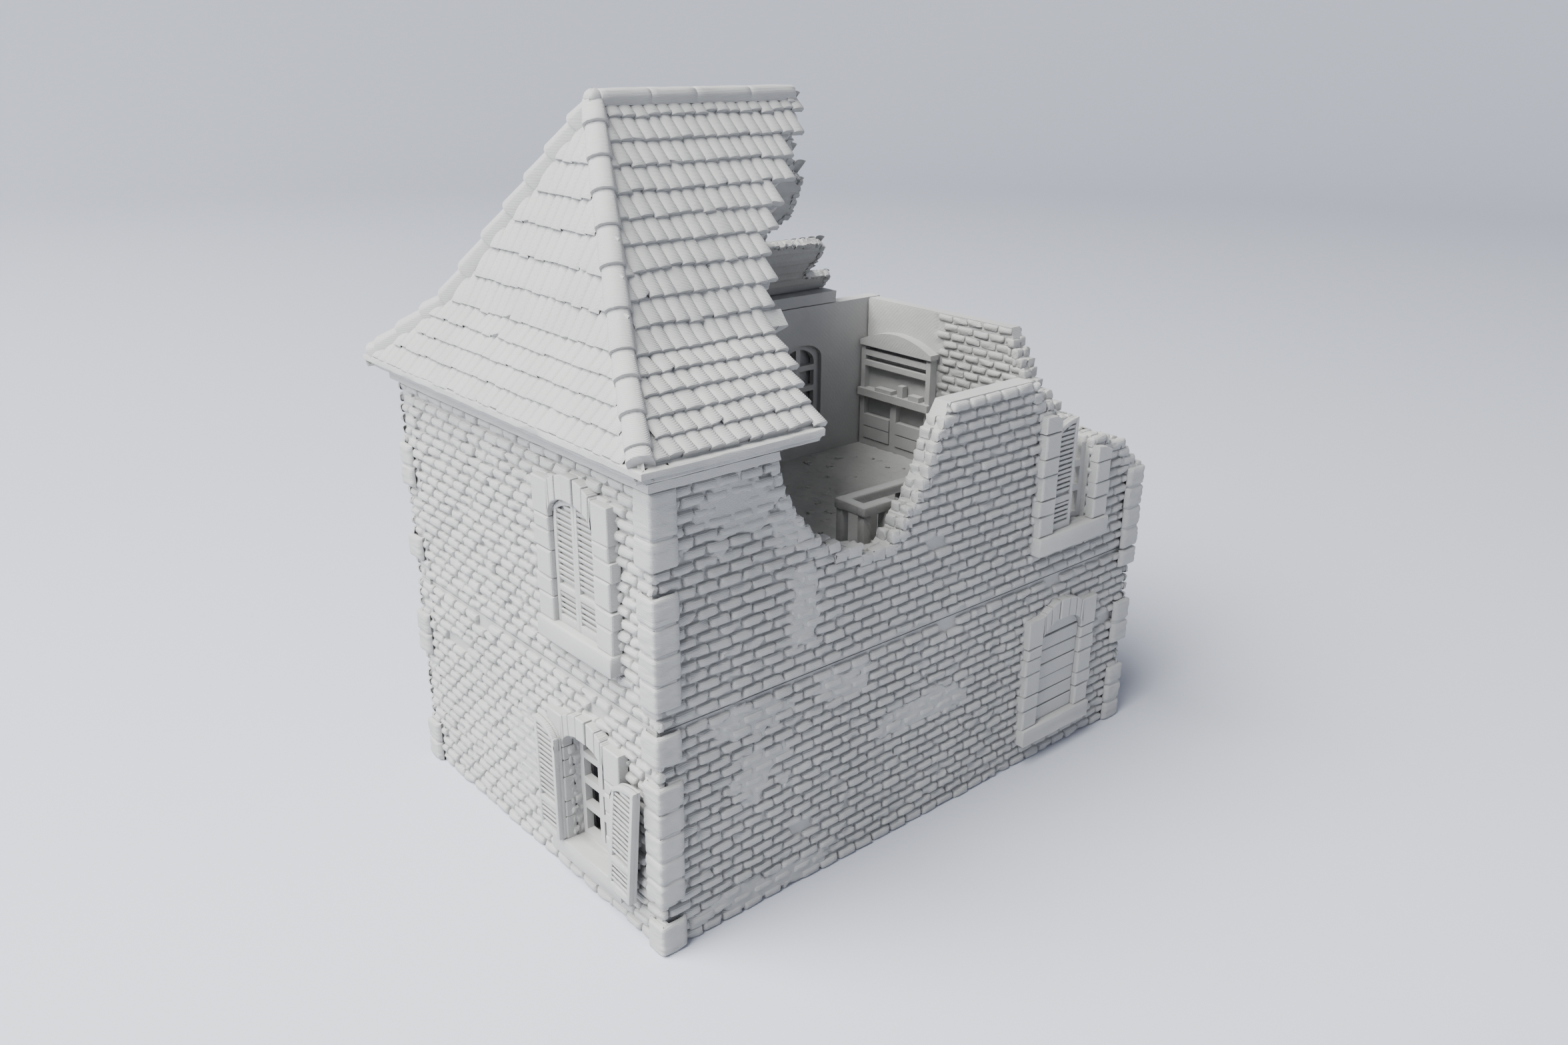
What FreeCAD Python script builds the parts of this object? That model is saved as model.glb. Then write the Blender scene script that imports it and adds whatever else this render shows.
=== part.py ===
import FreeCAD, Part
import math
import os

# Ruined two-storey brick house for 28 mm tabletop games, millimetres.
# X runs along the long front wall, Y towards the back wall, Z up.
# The origin is the centre of the footprint (eaves included) on the table.

V = FreeCAD.Vector

# ---- driving dimensions ------------------------------------------------
LENGTH = 183.1          # long walls, over the corner stones
WIDTH = 122.4           # short walls, over the corner stones
STOREY = 60.0           # height of the ground storey section
WALL_HEAD = 121.4       # underside of the cornice
CORNICE_HEIGHT = 3.8
EAVES_OUT = 4.9         # cornice projection beyond the corner stones
RIDGE_Z = 194.0
WALL = 8.0              # wall thickness, corner stone face to inner face
BRICK_INSET = 1.2       # brick face behind the corner stone face
SEAT_GAP = 0.3          # clearance between the stacked sections

GROUND_SLAB = 3.0
FLOOR_TOP = 68.0
FLOOR_UNDER = 63.0

WINDOW_WIDTH = 18.5
SURROUND_WIDTH = 32.0
SURROUND_PROUD = 2.0    # surround face in front of the brick face
OPENING_HEIGHT = 33.0   # sill to the crown of the opening
ARCH_RISE = 5.0         # rise of the low arch over each opening
GROUND_SILL = 13.0
UPPER_SILL = 75.0

FRONT_BAY = 147.5       # window centre along the front wall, from its left corner
LEFT_BAY = 31.2         # window centre along the left wall, from the front corner
BACK_BAY = 144.0        # window centre on the back wall, from the left end
DOOR_BAY = 62.0         # doorway centre on the back wall, from the left end
DOOR_WIDTH = 22.0
DOOR_CROWN = 46.0

ROOF_SHELL = 4.0        # tiled slope thickness, square to the slope
KICK_RUN = 0.37         # share of the run taken by the flatter eaves courses
KICK_RISE = 0.263       # share of the rise gained over that run
HIP_RUN = 34.4          # hip end run, cornice edge to ridge end

STEP = 3.0              # stair rise and going
RAIL_HEIGHT = 18.0
RAIL_DEPTH = 3.0
RAIL_WIDTH = 3.4
POST = 2.6
POST_PITCH = 12.4

# ---- derived positions ---------------------------------------------------
X_LEFT = -(LENGTH + EAVES_OUT) / 2 + EAVES_OUT
X_RIGHT = X_LEFT + LENGTH
Y_FRONT = -WIDTH / 2
Y_BACK = WIDTH / 2
CORNICE_TOP = WALL_HEAD + CORNICE_HEIGHT
SIDE_RUN = WIDTH / 2 + EAVES_OUT
RISE = RIDGE_Z - CORNICE_TOP
RIDGE_START = X_LEFT - EAVES_OUT + HIP_RUN
UPPER_HEAD = WALL_HEAD - SEAT_GAP
GROUND_HEAD = STOREY - SEAT_GAP
CLEAR = 300.0           # size of cutting blocks, larger than the whole house


def box(x0, x1, y0, y1, z0, z1):
    return Part.makeBox(x1 - x0, y1 - y0, z1 - z0, V(x0, y0, z0))


def prism(points, direction):
    wire = Part.makePolygon([V(*p) for p in points] + [V(*points[0])])
    return Part.Face(wire).extrude(V(*direction))


def upright(outline, depth0, depth1):
    """Solid from an outline in (along, up), between two depths into the wall."""
    return prism([(a, depth0, z) for a, z in outline], (0, depth1 - depth0, 0))


def fuse(shapes):
    whole = shapes[0].multiFuse(shapes[1:])
    return whole.removeSplitter()


def save(name, *shapes):
    solids = [solid for shape in shapes for solid in shape.Solids]
    whole = solids[0] if len(solids) == 1 else Part.makeCompound(solids)
    whole.exportStep("parts/" + name + ".step")


def on_wall(shape, side):
    """Move a shape from wall coordinates (along, depth, up) onto one side of the house.

    'Along' runs to the right as seen from outside, depth runs into the wall.
    """
    turn, corner = {
        "front": (0, V(X_LEFT, Y_FRONT, 0)),
        "left": (-90, V(X_LEFT, Y_BACK, 0)),
        "back": (180, V(X_RIGHT, Y_BACK, 0)),
        "right": (90, V(X_RIGHT, Y_FRONT, 0)),
    }[side]
    moved = shape.copy()
    moved.rotate(V(0, 0, 0), V(0, 0, 1), turn)
    moved.translate(corner)
    return moved


# ---- windows ----------------------------------------------------------------
def arch_outline(centre, half, bottom, crown, rise=ARCH_RISE, steps=16):
    """Straight sides under a low elliptical head."""
    spring = crown - rise
    points = [(centre - half, bottom), (centre + half, bottom)]
    for i in range(steps + 1):
        angle = math.pi * i / steps
        points.append((centre + half * math.cos(angle), spring + rise * math.sin(angle)))
    return points


def surround_outline(centre, half, bottom, crown):
    """Square shoulders with a low arch rising between them."""
    shoulder = crown + 3.0
    inner = half - 6.5
    points = [(centre - half, bottom), (centre + half, bottom)]
    points += [(centre + half, shoulder), (centre + inner, shoulder)]
    for i in range(1, 8):
        share = i / 8
        rise = 3.2 * (1 - (2 * share - 1) ** 2)
        points.append((centre + inner - 2 * inner * share, shoulder + rise))
    points += [(centre - inner, shoulder), (centre - half, shoulder)]
    return points


def window_hole(centre, sill):
    outline = arch_outline(centre, WINDOW_WIDTH / 2, sill, sill + OPENING_HEIGHT)
    return upright(outline, -5, WALL + 5)


def surround(centre, sill):
    outline = surround_outline(centre, SURROUND_WIDTH / 2, sill, sill + OPENING_HEIGHT)
    plate = upright(outline, BRICK_INSET - SURROUND_PROUD, BRICK_INSET)
    return plate.cut(window_hole(centre, sill))


def sill(centre, top, height=5.5, lip=0.8):
    """Deep plain stone under a window, standing out a little further than the surround."""
    half = SURROUND_WIDTH / 2
    front = BRICK_INSET - SURROUND_PROUD - lip
    return box(centre - half, centre + half, front, BRICK_INSET, top - height, top)


def window_frame(centre, sill_z, bar=1.9, depth=4.2, thick=2.0):
    half = WINDOW_WIDTH / 2
    crown = sill_z + OPENING_HEIGHT
    plate = upright(arch_outline(centre, half, sill_z, crown), depth, depth + thick)
    light = arch_outline(centre, half - bar, sill_z + bar, crown - bar)
    ring = plate.cut(upright(light, depth - 1, depth + thick + 1))
    bars = [box(centre - bar / 2, centre + bar / 2, depth, depth + thick, sill_z + 0.5, crown - 0.5)]
    for row in (1, 2, 3):
        z = sill_z + 2 + row * 7.4
        low, high = z - bar / 2, z + bar / 2
        bars.append(box(centre - half + 0.5, centre + half - 0.5, depth, depth + thick, low, high))
    return fuse([ring] + bars)


def shutter_leaf(width, height, thick):
    """One leaf with its hinge edge at 0, half-arched up to the free edge, louvre slots cut in the face."""
    spring = height - ARCH_RISE
    outline = [(0, 0), (width, 0), (width, height)]
    for i in range(1, 7):
        angle = math.pi / 2 * i / 6
        outline.append((width - width * math.sin(angle), spring + ARCH_RISE * math.cos(angle)))
    leaf = upright(outline, 0, thick)
    slots = []
    pitch = 1.5
    count = int((spring - 3.0) / pitch)
    for i in range(count):
        z = 2.4 + i * pitch
        if abs(z - height * 0.28) < 1.2:
            continue
        slots.append(box(1.5, width - 1.2, -1, 0.5, z, z + 0.7))
    return leaf.cut(Part.makeCompound(slots))


def mirrored(shape, along):
    return shape.mirror(V(along, 0, 0), V(1, 0, 0))


def closed_leaves(centre, sill_z, depth=0.6, thick=2.0):
    """Pair of closed leaves meeting on the window centre line."""
    width = WINDOW_WIDTH / 2 - 0.15
    leaf = shutter_leaf(width, OPENING_HEIGHT - 0.3, thick)
    left = leaf.copy()
    left.translate(V(centre - WINDOW_WIDTH / 2 + 0.1, depth, sill_z + 0.1))
    return left, mirrored(left, centre)


# ---- walls ------------------------------------------------------------------
def long_wall(outline):
    return upright(outline, BRICK_INSET, WALL)


def rectangle(a0, a1, z0, z1):
    return [(a0, z0), (a1, z0), (a1, z1), (a0, z1)]


def door_hole():
    outline = arch_outline(LENGTH - DOOR_BAY, DOOR_WIDTH / 2, GROUND_SLAB, DOOR_CROWN)
    return upright(outline, -5, WALL + 5)


FRONT_BREACH = [
    (LENGTH - BRICK_INSET, STOREY), (LENGTH - BRICK_INSET, 86.5), (175, 92.5), (172, 96.5), (163, 98.5),
    (FRONT_BAY + WINDOW_WIDTH / 2, 98.5), (FRONT_BAY + WINDOW_WIDTH / 2, UPPER_SILL),
    (FRONT_BAY - WINDOW_WIDTH / 2, UPPER_SILL), (FRONT_BAY - WINDOW_WIDTH / 2, 110.5), (137, 112.5),
    (132, 116), (130, 119), (128, UPPER_HEAD), (95, UPPER_HEAD), (92.5, 118), (90, 114), (88.5, 109),
    (87, 105), (84.5, 101), (83, 97), (79.5, 95), (78, 91), (74, 88), (70, 86.5), (66, 88.5), (62, 91),
    (55, 92.5), (50.5, 95), (46.5, 99), (42.5, 104), (39, 110), (36.5, 118), (36, UPPER_HEAD),
    (BRICK_INSET, UPPER_HEAD), (BRICK_INSET, STOREY),
]

RIGHT_BREAK = [
    (WALL, STOREY), (WIDTH - WALL, STOREY), (WIDTH - WALL, UPPER_HEAD), (50, UPPER_HEAD), (48.5, 116),
    (45, 112), (43, 107), (40, 104), (36, 101), (31, 97), (25, 94), (16, 90.5), (WALL, 88),
]


def build_ground_walls():
    ends = (BRICK_INSET, LENGTH - BRICK_INSET)
    long_panel = long_wall(rectangle(ends[0], ends[1], 0, GROUND_HEAD))
    short_panel = long_wall(rectangle(WALL, WIDTH - WALL, 0, GROUND_HEAD))
    front = long_panel.cut(window_hole(FRONT_BAY, GROUND_SILL))
    left = short_panel.cut(window_hole(WIDTH - LEFT_BAY, GROUND_SILL))
    back = long_panel.cut(window_hole(LENGTH - BACK_BAY, GROUND_SILL)).cut(door_hole())
    save("ground_wall_front", on_wall(front, "front"))
    save("ground_wall_left", on_wall(left, "left"))
    save("ground_wall_back", on_wall(back, "back"))
    save("ground_wall_right", on_wall(short_panel, "right"))


def build_upper_walls():
    back = long_wall(rectangle(BRICK_INSET, LENGTH - BRICK_INSET, STOREY, UPPER_HEAD))
    left = long_wall(rectangle(WALL, WIDTH - WALL, STOREY, UPPER_HEAD))
    save("upper_wall_front", on_wall(long_wall(FRONT_BREACH), "front"))
    save("upper_wall_left", on_wall(left.cut(window_hole(WIDTH - LEFT_BAY, UPPER_SILL)), "left"))
    save("upper_wall_back", on_wall(back.cut(window_hole(LENGTH - BACK_BAY, UPPER_SILL)), "back"))
    save("upper_wall_right", on_wall(long_wall(RIGHT_BREAK), "right"))


# ---- corner stones ------------------------------------------------------------
GROUND_QUOINS = {
    "front": [(0, 8.5), (14, 20.3), (20.6, 26.8), (27.1, 33.3), (33.6, 39.8), (40.1, 46.5),
              (52, GROUND_HEAD)],
    "right": [(0, 6.2), (6.5, 12.6), (12.9, 19), (27.5, 34.6), (34.9, 42), (54, GROUND_HEAD)],
    "back": [(0, 8.5), (20, 26.6), (26.9, 33.5), (48, 53.7), (54, GROUND_HEAD)],
    "left": [(0, 6.2), (6.5, 12.8), (36, 42.4), (42.7, 49)],
}
UPPER_QUOINS = {
    "front": [(66, 72.8), (73.1, 79.8), (80.1, 86.8), (87.1, 93.8), (100, 107.3), (107.6, 118.3)],
    "right": [(STOREY, 66.5), (66.8, 73.2), (73.5, 80), (80.3, 86.4)],
    "back": [(STOREY, 66.5), (80, 86.6), (86.9, 93.5), (107, 112.6), (112.9, 118.3)],
    "left": [(66, 73), (88, 94.1), (94.4, 100.5)],
}


def quoin(z0, z1, front_leg=7.8, side_leg=7.0):
    """L-shaped stone round the left-hand corner of a wall, in that wall's coordinates."""
    face = box(0, front_leg, 0, BRICK_INSET, z0, z1)
    side = box(0, BRICK_INSET, BRICK_INSET, side_leg, z0, z1)
    return fuse([face, side])


def quoins(table):
    stones = []
    for side, levels in table.items():
        legs = (7.8, 7.0) if side in ("front", "back") else (7.0, 7.8)
        stones += [on_wall(quoin(z0, z1, *legs), side) for z0, z1 in levels]
    return stones


# ---- window and door fittings ---------------------------------------------------
def build_ground_fittings():
    bays = [("left", WIDTH - LEFT_BAY), ("front", FRONT_BAY), ("back", LENGTH - BACK_BAY)]
    save("ground_window_surrounds", *[on_wall(surround(c, GROUND_SILL), side) for side, c in bays])
    save("ground_window_sills", *[on_wall(sill(c, GROUND_SILL), side) for side, c in bays])
    save("ground_window_frame", on_wall(window_frame(WIDTH - LEFT_BAY, GROUND_SILL), "left"))
    closed = closed_leaves(LENGTH - BACK_BAY, GROUND_SILL)
    save("ground_back_shutters", *[on_wall(leaf, "back") for leaf in closed])
    save("ground_window_boards", *boards())
    build_open_shutters()
    build_doorway()


def boards(count=7, depth=0.8, thick=1.6):
    """Planks nailed across the front window, each one trimmed to the arch."""
    crown = GROUND_SILL + OPENING_HEIGHT - 0.1
    hole = upright(arch_outline(FRONT_BAY, WINDOW_WIDTH / 2 - 0.1, GROUND_SILL + 0.1, crown), 0, 4)
    pitch = OPENING_HEIGHT / count
    planks = []
    for i in range(count):
        z = GROUND_SILL + 0.1 + i * pitch
        plank = box(FRONT_BAY - 12, FRONT_BAY + 12, depth, depth + thick, z, z + pitch - 0.35)
        planks.append(on_wall(plank.common(hole), "front"))
    return planks


def build_open_shutters(width=9.2, thick=2.2):
    """The left window's two leaves: one folded back flat, one hanging askew by its lower hinge."""
    centre = WIDTH - LEFT_BAY
    proud = BRICK_INSET - SURROUND_PROUD
    leaf = shutter_leaf(width, OPENING_HEIGHT, thick)
    folded = mirrored(leaf, 0)
    folded.translate(V(centre - WINDOW_WIDTH / 2 - 0.2, proud - thick, GROUND_SILL + 0.3))
    askew = leaf.copy()
    askew.rotate(V(0, 0, 0), V(0, 1, 0), 6.0)
    askew.translate(V(centre + WINDOW_WIDTH / 2 + 3.4, proud - thick, GROUND_SILL - 0.6))
    askew = askew.cut(sill(centre, GROUND_SILL))
    save("ground_shutter_folded", on_wall(folded, "left"))
    save("ground_shutter_askew", on_wall(askew, "left"))


def build_doorway():
    centre = LENGTH - DOOR_BAY
    half = DOOR_WIDTH / 2 + 6.5
    outline = surround_outline(centre, half, GROUND_SLAB, DOOR_CROWN)
    frame = upright(outline, BRICK_INSET - SURROUND_PROUD, BRICK_INSET).cut(door_hole())
    step = box(centre - half, centre + half, -3.0, BRICK_INSET, 0, GROUND_SLAB)
    save("doorway_surround", on_wall(frame, "back"))
    save("doorstep", on_wall(step, "back"))


def build_upper_fittings():
    left = WIDTH - LEFT_BAY
    back = LENGTH - BACK_BAY
    save("upper_left_surround", on_wall(surround(left, UPPER_SILL), "left"))
    save("upper_back_surround", on_wall(surround(back, UPPER_SILL), "back"))
    save("upper_left_shutters", *[on_wall(leaf, "left") for leaf in closed_leaves(left, UPPER_SILL)])
    save("upper_back_shutters", *[on_wall(leaf, "back") for leaf in closed_leaves(back, UPPER_SILL)])
    bays = [("left", left), ("front", FRONT_BAY), ("back", back)]
    save("upper_window_sills", *[on_wall(sill(c, UPPER_SILL), side) for side, c in bays])
    save("upper_front_surround", on_wall(surround(FRONT_BAY, UPPER_SILL).cut(broken_arch()), "front"))
    save("upper_front_shutter", on_wall(closed_leaves(FRONT_BAY, UPPER_SILL)[0], "front"))
    frame = window_frame(FRONT_BAY, UPPER_SILL).cut(broken_frame())
    save("upper_window_frames", on_wall(frame, "front"), on_wall(window_frame(back, UPPER_SILL), "back"))


def broken_arch():
    """What has gone from the front window's surround: the head and the top of the right jamb."""
    inner = FRONT_BAY - WINDOW_WIDTH / 2
    left = FRONT_BAY - SURROUND_WIDTH / 2 - 1
    right = FRONT_BAY + SURROUND_WIDTH / 2 + 1
    outline = [(inner, 106), (inner + 1, 97), (right - 4, 97), (right, 96), (right, 125),
               (left, 125), (left, 111), (inner, 110)]
    return upright(outline, -5, WALL)


def broken_frame():
    outline = [(FRONT_BAY - 12, 108), (FRONT_BAY - 1, 104), (FRONT_BAY + 3, 99), (FRONT_BAY + 12, 97),
               (FRONT_BAY + 12, 120), (FRONT_BAY - 12, 120)]
    return upright(outline, 0, WALL + 2)


def build_frieze(front_end=36.0, back_end=159.0):
    """Plain band at the wall head, flush with the corner stones."""
    z0 = 118.5
    front = box(0, front_end, 0, BRICK_INSET, z0, UPPER_HEAD)
    left = box(BRICK_INSET, WIDTH - BRICK_INSET, 0, BRICK_INSET, z0, UPPER_HEAD)
    back = box(LENGTH - back_end, LENGTH, 0, BRICK_INSET, z0, UPPER_HEAD)
    save("upper_frieze", on_wall(front, "front"), on_wall(left, "left"), on_wall(back, "back"))


# ---- floors, stairs and rails ------------------------------------------------------
STAIR_TOP = X_LEFT + 103.4
STAIR_INNER = Y_FRONT + 9.3
STAIR_OUTER = Y_FRONT + 28.6
HOLE_END = X_LEFT + 150
GUARD_X = X_LEFT + 92.0
GUARD_BACK = Y_FRONT + 38.0
GUARD_FRONT = Y_FRONT + 29.4
RAIL_TOP = FLOOR_TOP + RAIL_HEIGHT


def build_floors(rail_edge=1.9, gap=0.4):
    """Both floors; the upper one is open inside the guard rail and over the flight."""
    inside = (X_LEFT + WALL, X_RIGHT - WALL, Y_FRONT + WALL, Y_BACK - WALL)
    front = GUARD_FRONT + rail_edge
    well = box(GUARD_X + rail_edge, HOLE_END, front, GUARD_BACK - rail_edge, 0, CLEAR)
    flight = box(STAIR_TOP - gap, HOLE_END, STAIR_INNER - gap, front, 0, CLEAR)
    save("ground_floor_slab", box(*inside, 0, GROUND_SLAB))
    save("upper_floor_slab", box(*inside, FLOOR_UNDER, FLOOR_TOP).cut(well).cut(flight))


def build_locating_lip(thick=2.0, seat=0.3, foot=55.0, floor_gap=0.5, leg=14.0):
    """Angles inside the ground storey's four corners that the upper storey drops over.

    The foot is against the wall; above the wall head it steps in by the seat clearance.
    Each angle ends a leg's length from the corner stone face.
    """
    def ring(inset, z0, z1):
        reach = WALL + seat + thick
        outer = box(X_LEFT + inset, X_RIGHT - inset, Y_FRONT + inset, Y_BACK - inset, z0, z1)
        inner = box(X_LEFT + reach, X_RIGHT - reach, Y_FRONT + reach, Y_BACK - reach, 0, CLEAR)
        return outer.cut(inner)
    low = ring(WALL, foot, GROUND_HEAD)
    high = ring(WALL + seat, GROUND_HEAD, FLOOR_UNDER - floor_gap)
    along_x = box(X_LEFT, X_RIGHT, Y_FRONT + leg, Y_BACK - leg, 0, CLEAR)
    along_y = box(X_LEFT + leg, X_RIGHT - leg, Y_FRONT, Y_BACK, 0, CLEAR)
    save("ground_locating_lip", fuse([low, high]).cut(along_x).cut(along_y))


def build_staircase(string=2.4, waist=4.0, foot=5.0, string_above=2.0):
    """One straight flight with a string along its open side standing above the treads."""
    steps = int(round((FLOOR_TOP - GROUND_SLAB) / STEP))
    rise = (FLOOR_TOP - GROUND_SLAB) / steps
    top = [(STAIR_TOP, FLOOR_TOP)]
    for i in range(steps):
        x = STAIR_TOP + (i + 1) * STEP
        top += [(x, FLOOR_TOP - i * rise), (x, FLOOR_TOP - (i + 1) * rise)]
    end = STAIR_TOP + steps * STEP
    under = [(end - foot, GROUND_SLAB), (STAIR_TOP, FLOOR_TOP - rise - waist * 1.5)]
    flight = prism([(x, STAIR_INNER, z) for x, z in top[:-1] + [(end, GROUND_SLAB)] + under],
                   (0, STAIR_OUTER - string - STAIR_INNER, 0))
    edge = [(STAIR_TOP, FLOOR_TOP), (STAIR_TOP + string_above, FLOOR_TOP), (end + string_above, GROUND_SLAB)]
    side = prism([(x, STAIR_OUTER - string, z) for x, z in edge + under], (0, string, 0))
    stairs = fuse([flight, side])
    save("staircase", stairs)
    build_stair_rail(string, end, stairs)


def build_stair_rail(string, end, stairs, short=10.0, first=2.4, last_back=0.8, rooted=2.0, slack=0.1):
    """Handrail parallel to the flight, on square posts standing on the outer string.

    It stops short of the foot of the flight; the last post is set back a little from the rail's end.
    """
    y = STAIR_OUTER - string / 2
    run = end - STAIR_TOP - short
    thick = RAIL_DEPTH * 1.4
    x0 = STAIR_TOP + 0.4
    under = RAIL_TOP - thick
    outline = [(x0, under), (x0 + run, under - run), (x0 + run, RAIL_TOP - run), (x0, RAIL_TOP)]
    rail = prism([(x, y - RAIL_WIDTH / 2, z) for x, z in outline], (0, RAIL_WIDTH, 0))
    posts = []
    count = int(run // POST_PITCH) + 1
    for i in range(count):
        x = x0 + first + i * POST_PITCH - (last_back if i == count - 1 else 0)
        far = x + POST
        root = FLOOR_TOP + rooted + STAIR_TOP
        foot = [(x, root - x), (far, root - far)]
        head = [(far, under - (far - x0)), (x, under - (x - x0))]
        post = prism([(a, y - POST / 2 + slack, z) for a, z in foot + head], (0, POST - 2 * slack, 0))
        posts.append(post.cut(stairs))
    save("stair_handrail", rail)
    save("stair_posts", *posts)


def build_guard(past_hole=1.5, stair_gap=1.4, post_back=1.9, back_posts=6):
    """Rail round three sides of the stair hole, on square posts."""
    half = RAIL_WIDTH / 2
    z0 = RAIL_TOP - RAIL_DEPTH
    back_end = HOLE_END + past_hole
    front_end = STAIR_TOP - stair_gap
    pitch = POST_PITCH * 0.95
    back = box(GUARD_X - half, back_end, GUARD_BACK - half, GUARD_BACK + half, z0, RAIL_TOP)
    side = box(GUARD_X - half, GUARD_X + half, GUARD_FRONT - half, GUARD_BACK + half, z0, RAIL_TOP)
    front = box(GUARD_X - half, front_end, GUARD_FRONT - half, GUARD_FRONT + half, z0, RAIL_TOP)
    save("guard_rail", fuse([back, side, front]))
    spots = [(GUARD_X, GUARD_FRONT), (front_end - post_back, GUARD_FRONT)]
    spots += [(GUARD_X + i * pitch, GUARD_BACK) for i in range(back_posts)]
    posts = [box(x - POST / 2, x + POST / 2, y - POST / 2, y + POST / 2, FLOOR_TOP, z0) for x, y in spots]
    save("guard_posts", *posts)


# ---- dresser -----------------------------------------------------------------------
DRESSER_DEPTH = 3.2
DRESSER_HEIGHT = 37.0
DRESSER_BOARD = 0.9     # back board thickness
DRESSER_SIDE = 2.0
DRESSER_LIP = 0.6       # counter and top past the side board
PLINTH_TOP = 2.6
COUNTER_UNDER = 18.8
COUNTER_TOP = 21.4
DRAWER_HEIGHT = 4.2
DRAWER_LEVELS = (3.0, 7.6)
SHELF_THICK = 2.0
SHELF_LEVELS = (29.6, 33.4)
# Things on the counter: from and to along it, top, how far past the dresser's face
CLUTTER = [(4, 9, 23.2, 1.0), (12, 14.5, 25.4, 0.6), (17, 25, 22.8, 1.2)]


def build_dresser(post=1.4, counter_proud=1.6, gap=0.3, drawer_back=1.2, clutter_back=1.4):
    """Dresser standing against the right wall, in the back corner of the upper room."""
    wall = X_RIGHT - WALL
    face = wall - DRESSER_DEPTH
    board = wall - DRESSER_BOARD
    y0 = Y_FRONT + 80.0
    y1 = Y_BACK - WALL - 1.0
    inner0 = y0 + DRESSER_SIDE
    inner1 = y1 - DRESSER_SIDE
    centre = (y0 + y1) / 2

    def block(a, b, z0, z1, front=face, back=board):
        return box(front, back, a, b, FLOOR_TOP + z0, FLOOR_TOP + z1)

    case = [
        block(y0, y1, 0, DRESSER_HEIGHT, board, wall),
        block(inner0, inner1, 0, PLINTH_TOP),
        block(centre - post, centre + post, PLINTH_TOP, COUNTER_UNDER),
        block(y0, inner0, 0, DRESSER_HEIGHT),
        block(inner1, y1, 0, DRESSER_HEIGHT),
    ]
    save("dresser_case", fuse(case))
    halves = [(inner0, centre - post), (centre + post, inner1)]
    drawers = []
    for a, b in halves:
        for z in DRAWER_LEVELS:
            drawers.append(block(a + gap, b - gap, z, z + DRAWER_HEIGHT, face - gap, wall - drawer_back))
    save("dresser_drawers", *drawers)
    counter = block(y0 - DRESSER_LIP, y1, COUNTER_UNDER, COUNTER_TOP, face - counter_proud, face)
    inner = block(inner0, inner1, COUNTER_UNDER, COUNTER_TOP)
    shelves = [block(inner0, inner1, z, z + SHELF_THICK) for z in SHELF_LEVELS]
    save("dresser_shelves", fuse([counter, inner]), *shelves)
    save("dresser_pediment", dresser_top(face, wall, y0, y1, FLOOR_TOP + DRESSER_HEIGHT))
    things = [block(y0 + a, y0 + b, COUNTER_TOP, top, face - proud, wall - clutter_back)
              for a, b, top, proud in CLUTTER]
    save("dresser_clutter", *things)


def dresser_top(face, wall, y0, y1, z, shoulder=1.8, bow=4.2, proud=0.8, steps=12):
    """Moulding with a low bow along its top edge."""
    centre = (y0 + y1) / 2
    half = (y1 - y0) / 2
    outline = [(y0 - DRESSER_LIP, z), (y1, z), (y1, z + shoulder)]
    for i in range(steps + 1):
        across = 2 * i / steps - 1
        outline.append((centre - half * across, z + shoulder + bow * (1 - across ** 2)))
    outline.append((y0 - DRESSER_LIP, z + shoulder))
    return prism([(face - proud, y, h) for y, h in outline], (wall - face + proud, 0, 0))


# ---- roof ----------------------------------------------------------------------------
def slope_section(run):
    """Section through one slope: run outwards-in, height, kicked eaves, even thickness."""
    kick = (run * KICK_RUN, CORNICE_TOP + RISE * KICK_RISE)
    low_angle = math.atan2(kick[1] - CORNICE_TOP, kick[0])
    top_angle = math.atan2(RIDGE_Z - kick[1], run - kick[0])
    low_drop = ROOF_SHELL / math.cos(low_angle)
    top_drop = ROOF_SHELL / math.cos(top_angle)
    low_slope = math.tan(low_angle)
    top_slope = math.tan(top_angle)
    foot = low_drop / low_slope
    meet = (kick[1] - top_drop - kick[0] * top_slope - CORNICE_TOP + low_drop) / (low_slope - top_slope)
    meet_z = CORNICE_TOP - low_drop + meet * low_slope
    outside = [(0, CORNICE_TOP), kick, (run, RIDGE_Z)]
    inside = [(run, RIDGE_Z - top_drop), (meet, meet_z), (foot, CORNICE_TOP)]
    return outside + inside


def hip_cutter(sign):
    """Upright block covering the hip end, bounded by the plan lines of the two hips."""
    x0 = X_LEFT - EAVES_OUT
    y0 = sign * SIDE_RUN
    direction = (HIP_RUN, -y0)
    tip = (x0 + direction[0], 0)
    corner = (x0 - direction[0], y0 - direction[1])
    return prism([(corner[0], corner[1], 0), (tip[0], tip[1], 0), (tip[0] - CLEAR, 0, 0)], (0, 0, CLEAR))


FRONT_EDGE = [
    (43.2, 0.0), (44.1, 0.06), (45.5, 0.13), (46, 0.2), (47.5, 0.235), (48.9, 0.30), (50.2, 0.366),
    (50.5, 0.41), (53, 0.415), (53.4, 0.46), (56.2, 0.476), (58, 0.54), (58.2, 0.60), (63, 0.612),
    (63.8, 0.658), (69.8, 0.677), (69.6, 0.72), (75, 0.75), (76, 0.778), (80.6, 0.82), (82.2, 0.86),
    (89, 0.897), (90.6, 0.933), (90.1, 1.0),
]
BACK_EDGE = [
    (159.5, 0.0), (158.5, 0.1), (155.5, 0.18), (143.2, 0.203), (140.6, 0.277), (138.6, 0.411), (134.3, 0.442),
    (121.9, 0.424), (110.0, 0.43), (109.0, 0.50), (111.3, 0.543), (114.4, 0.577), (112.1, 0.66),
    (111.3, 0.704),
    (106.2, 0.731), (101, 0.80), (97, 0.87), (93, 0.93), (90.1, 1.0),
]


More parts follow.
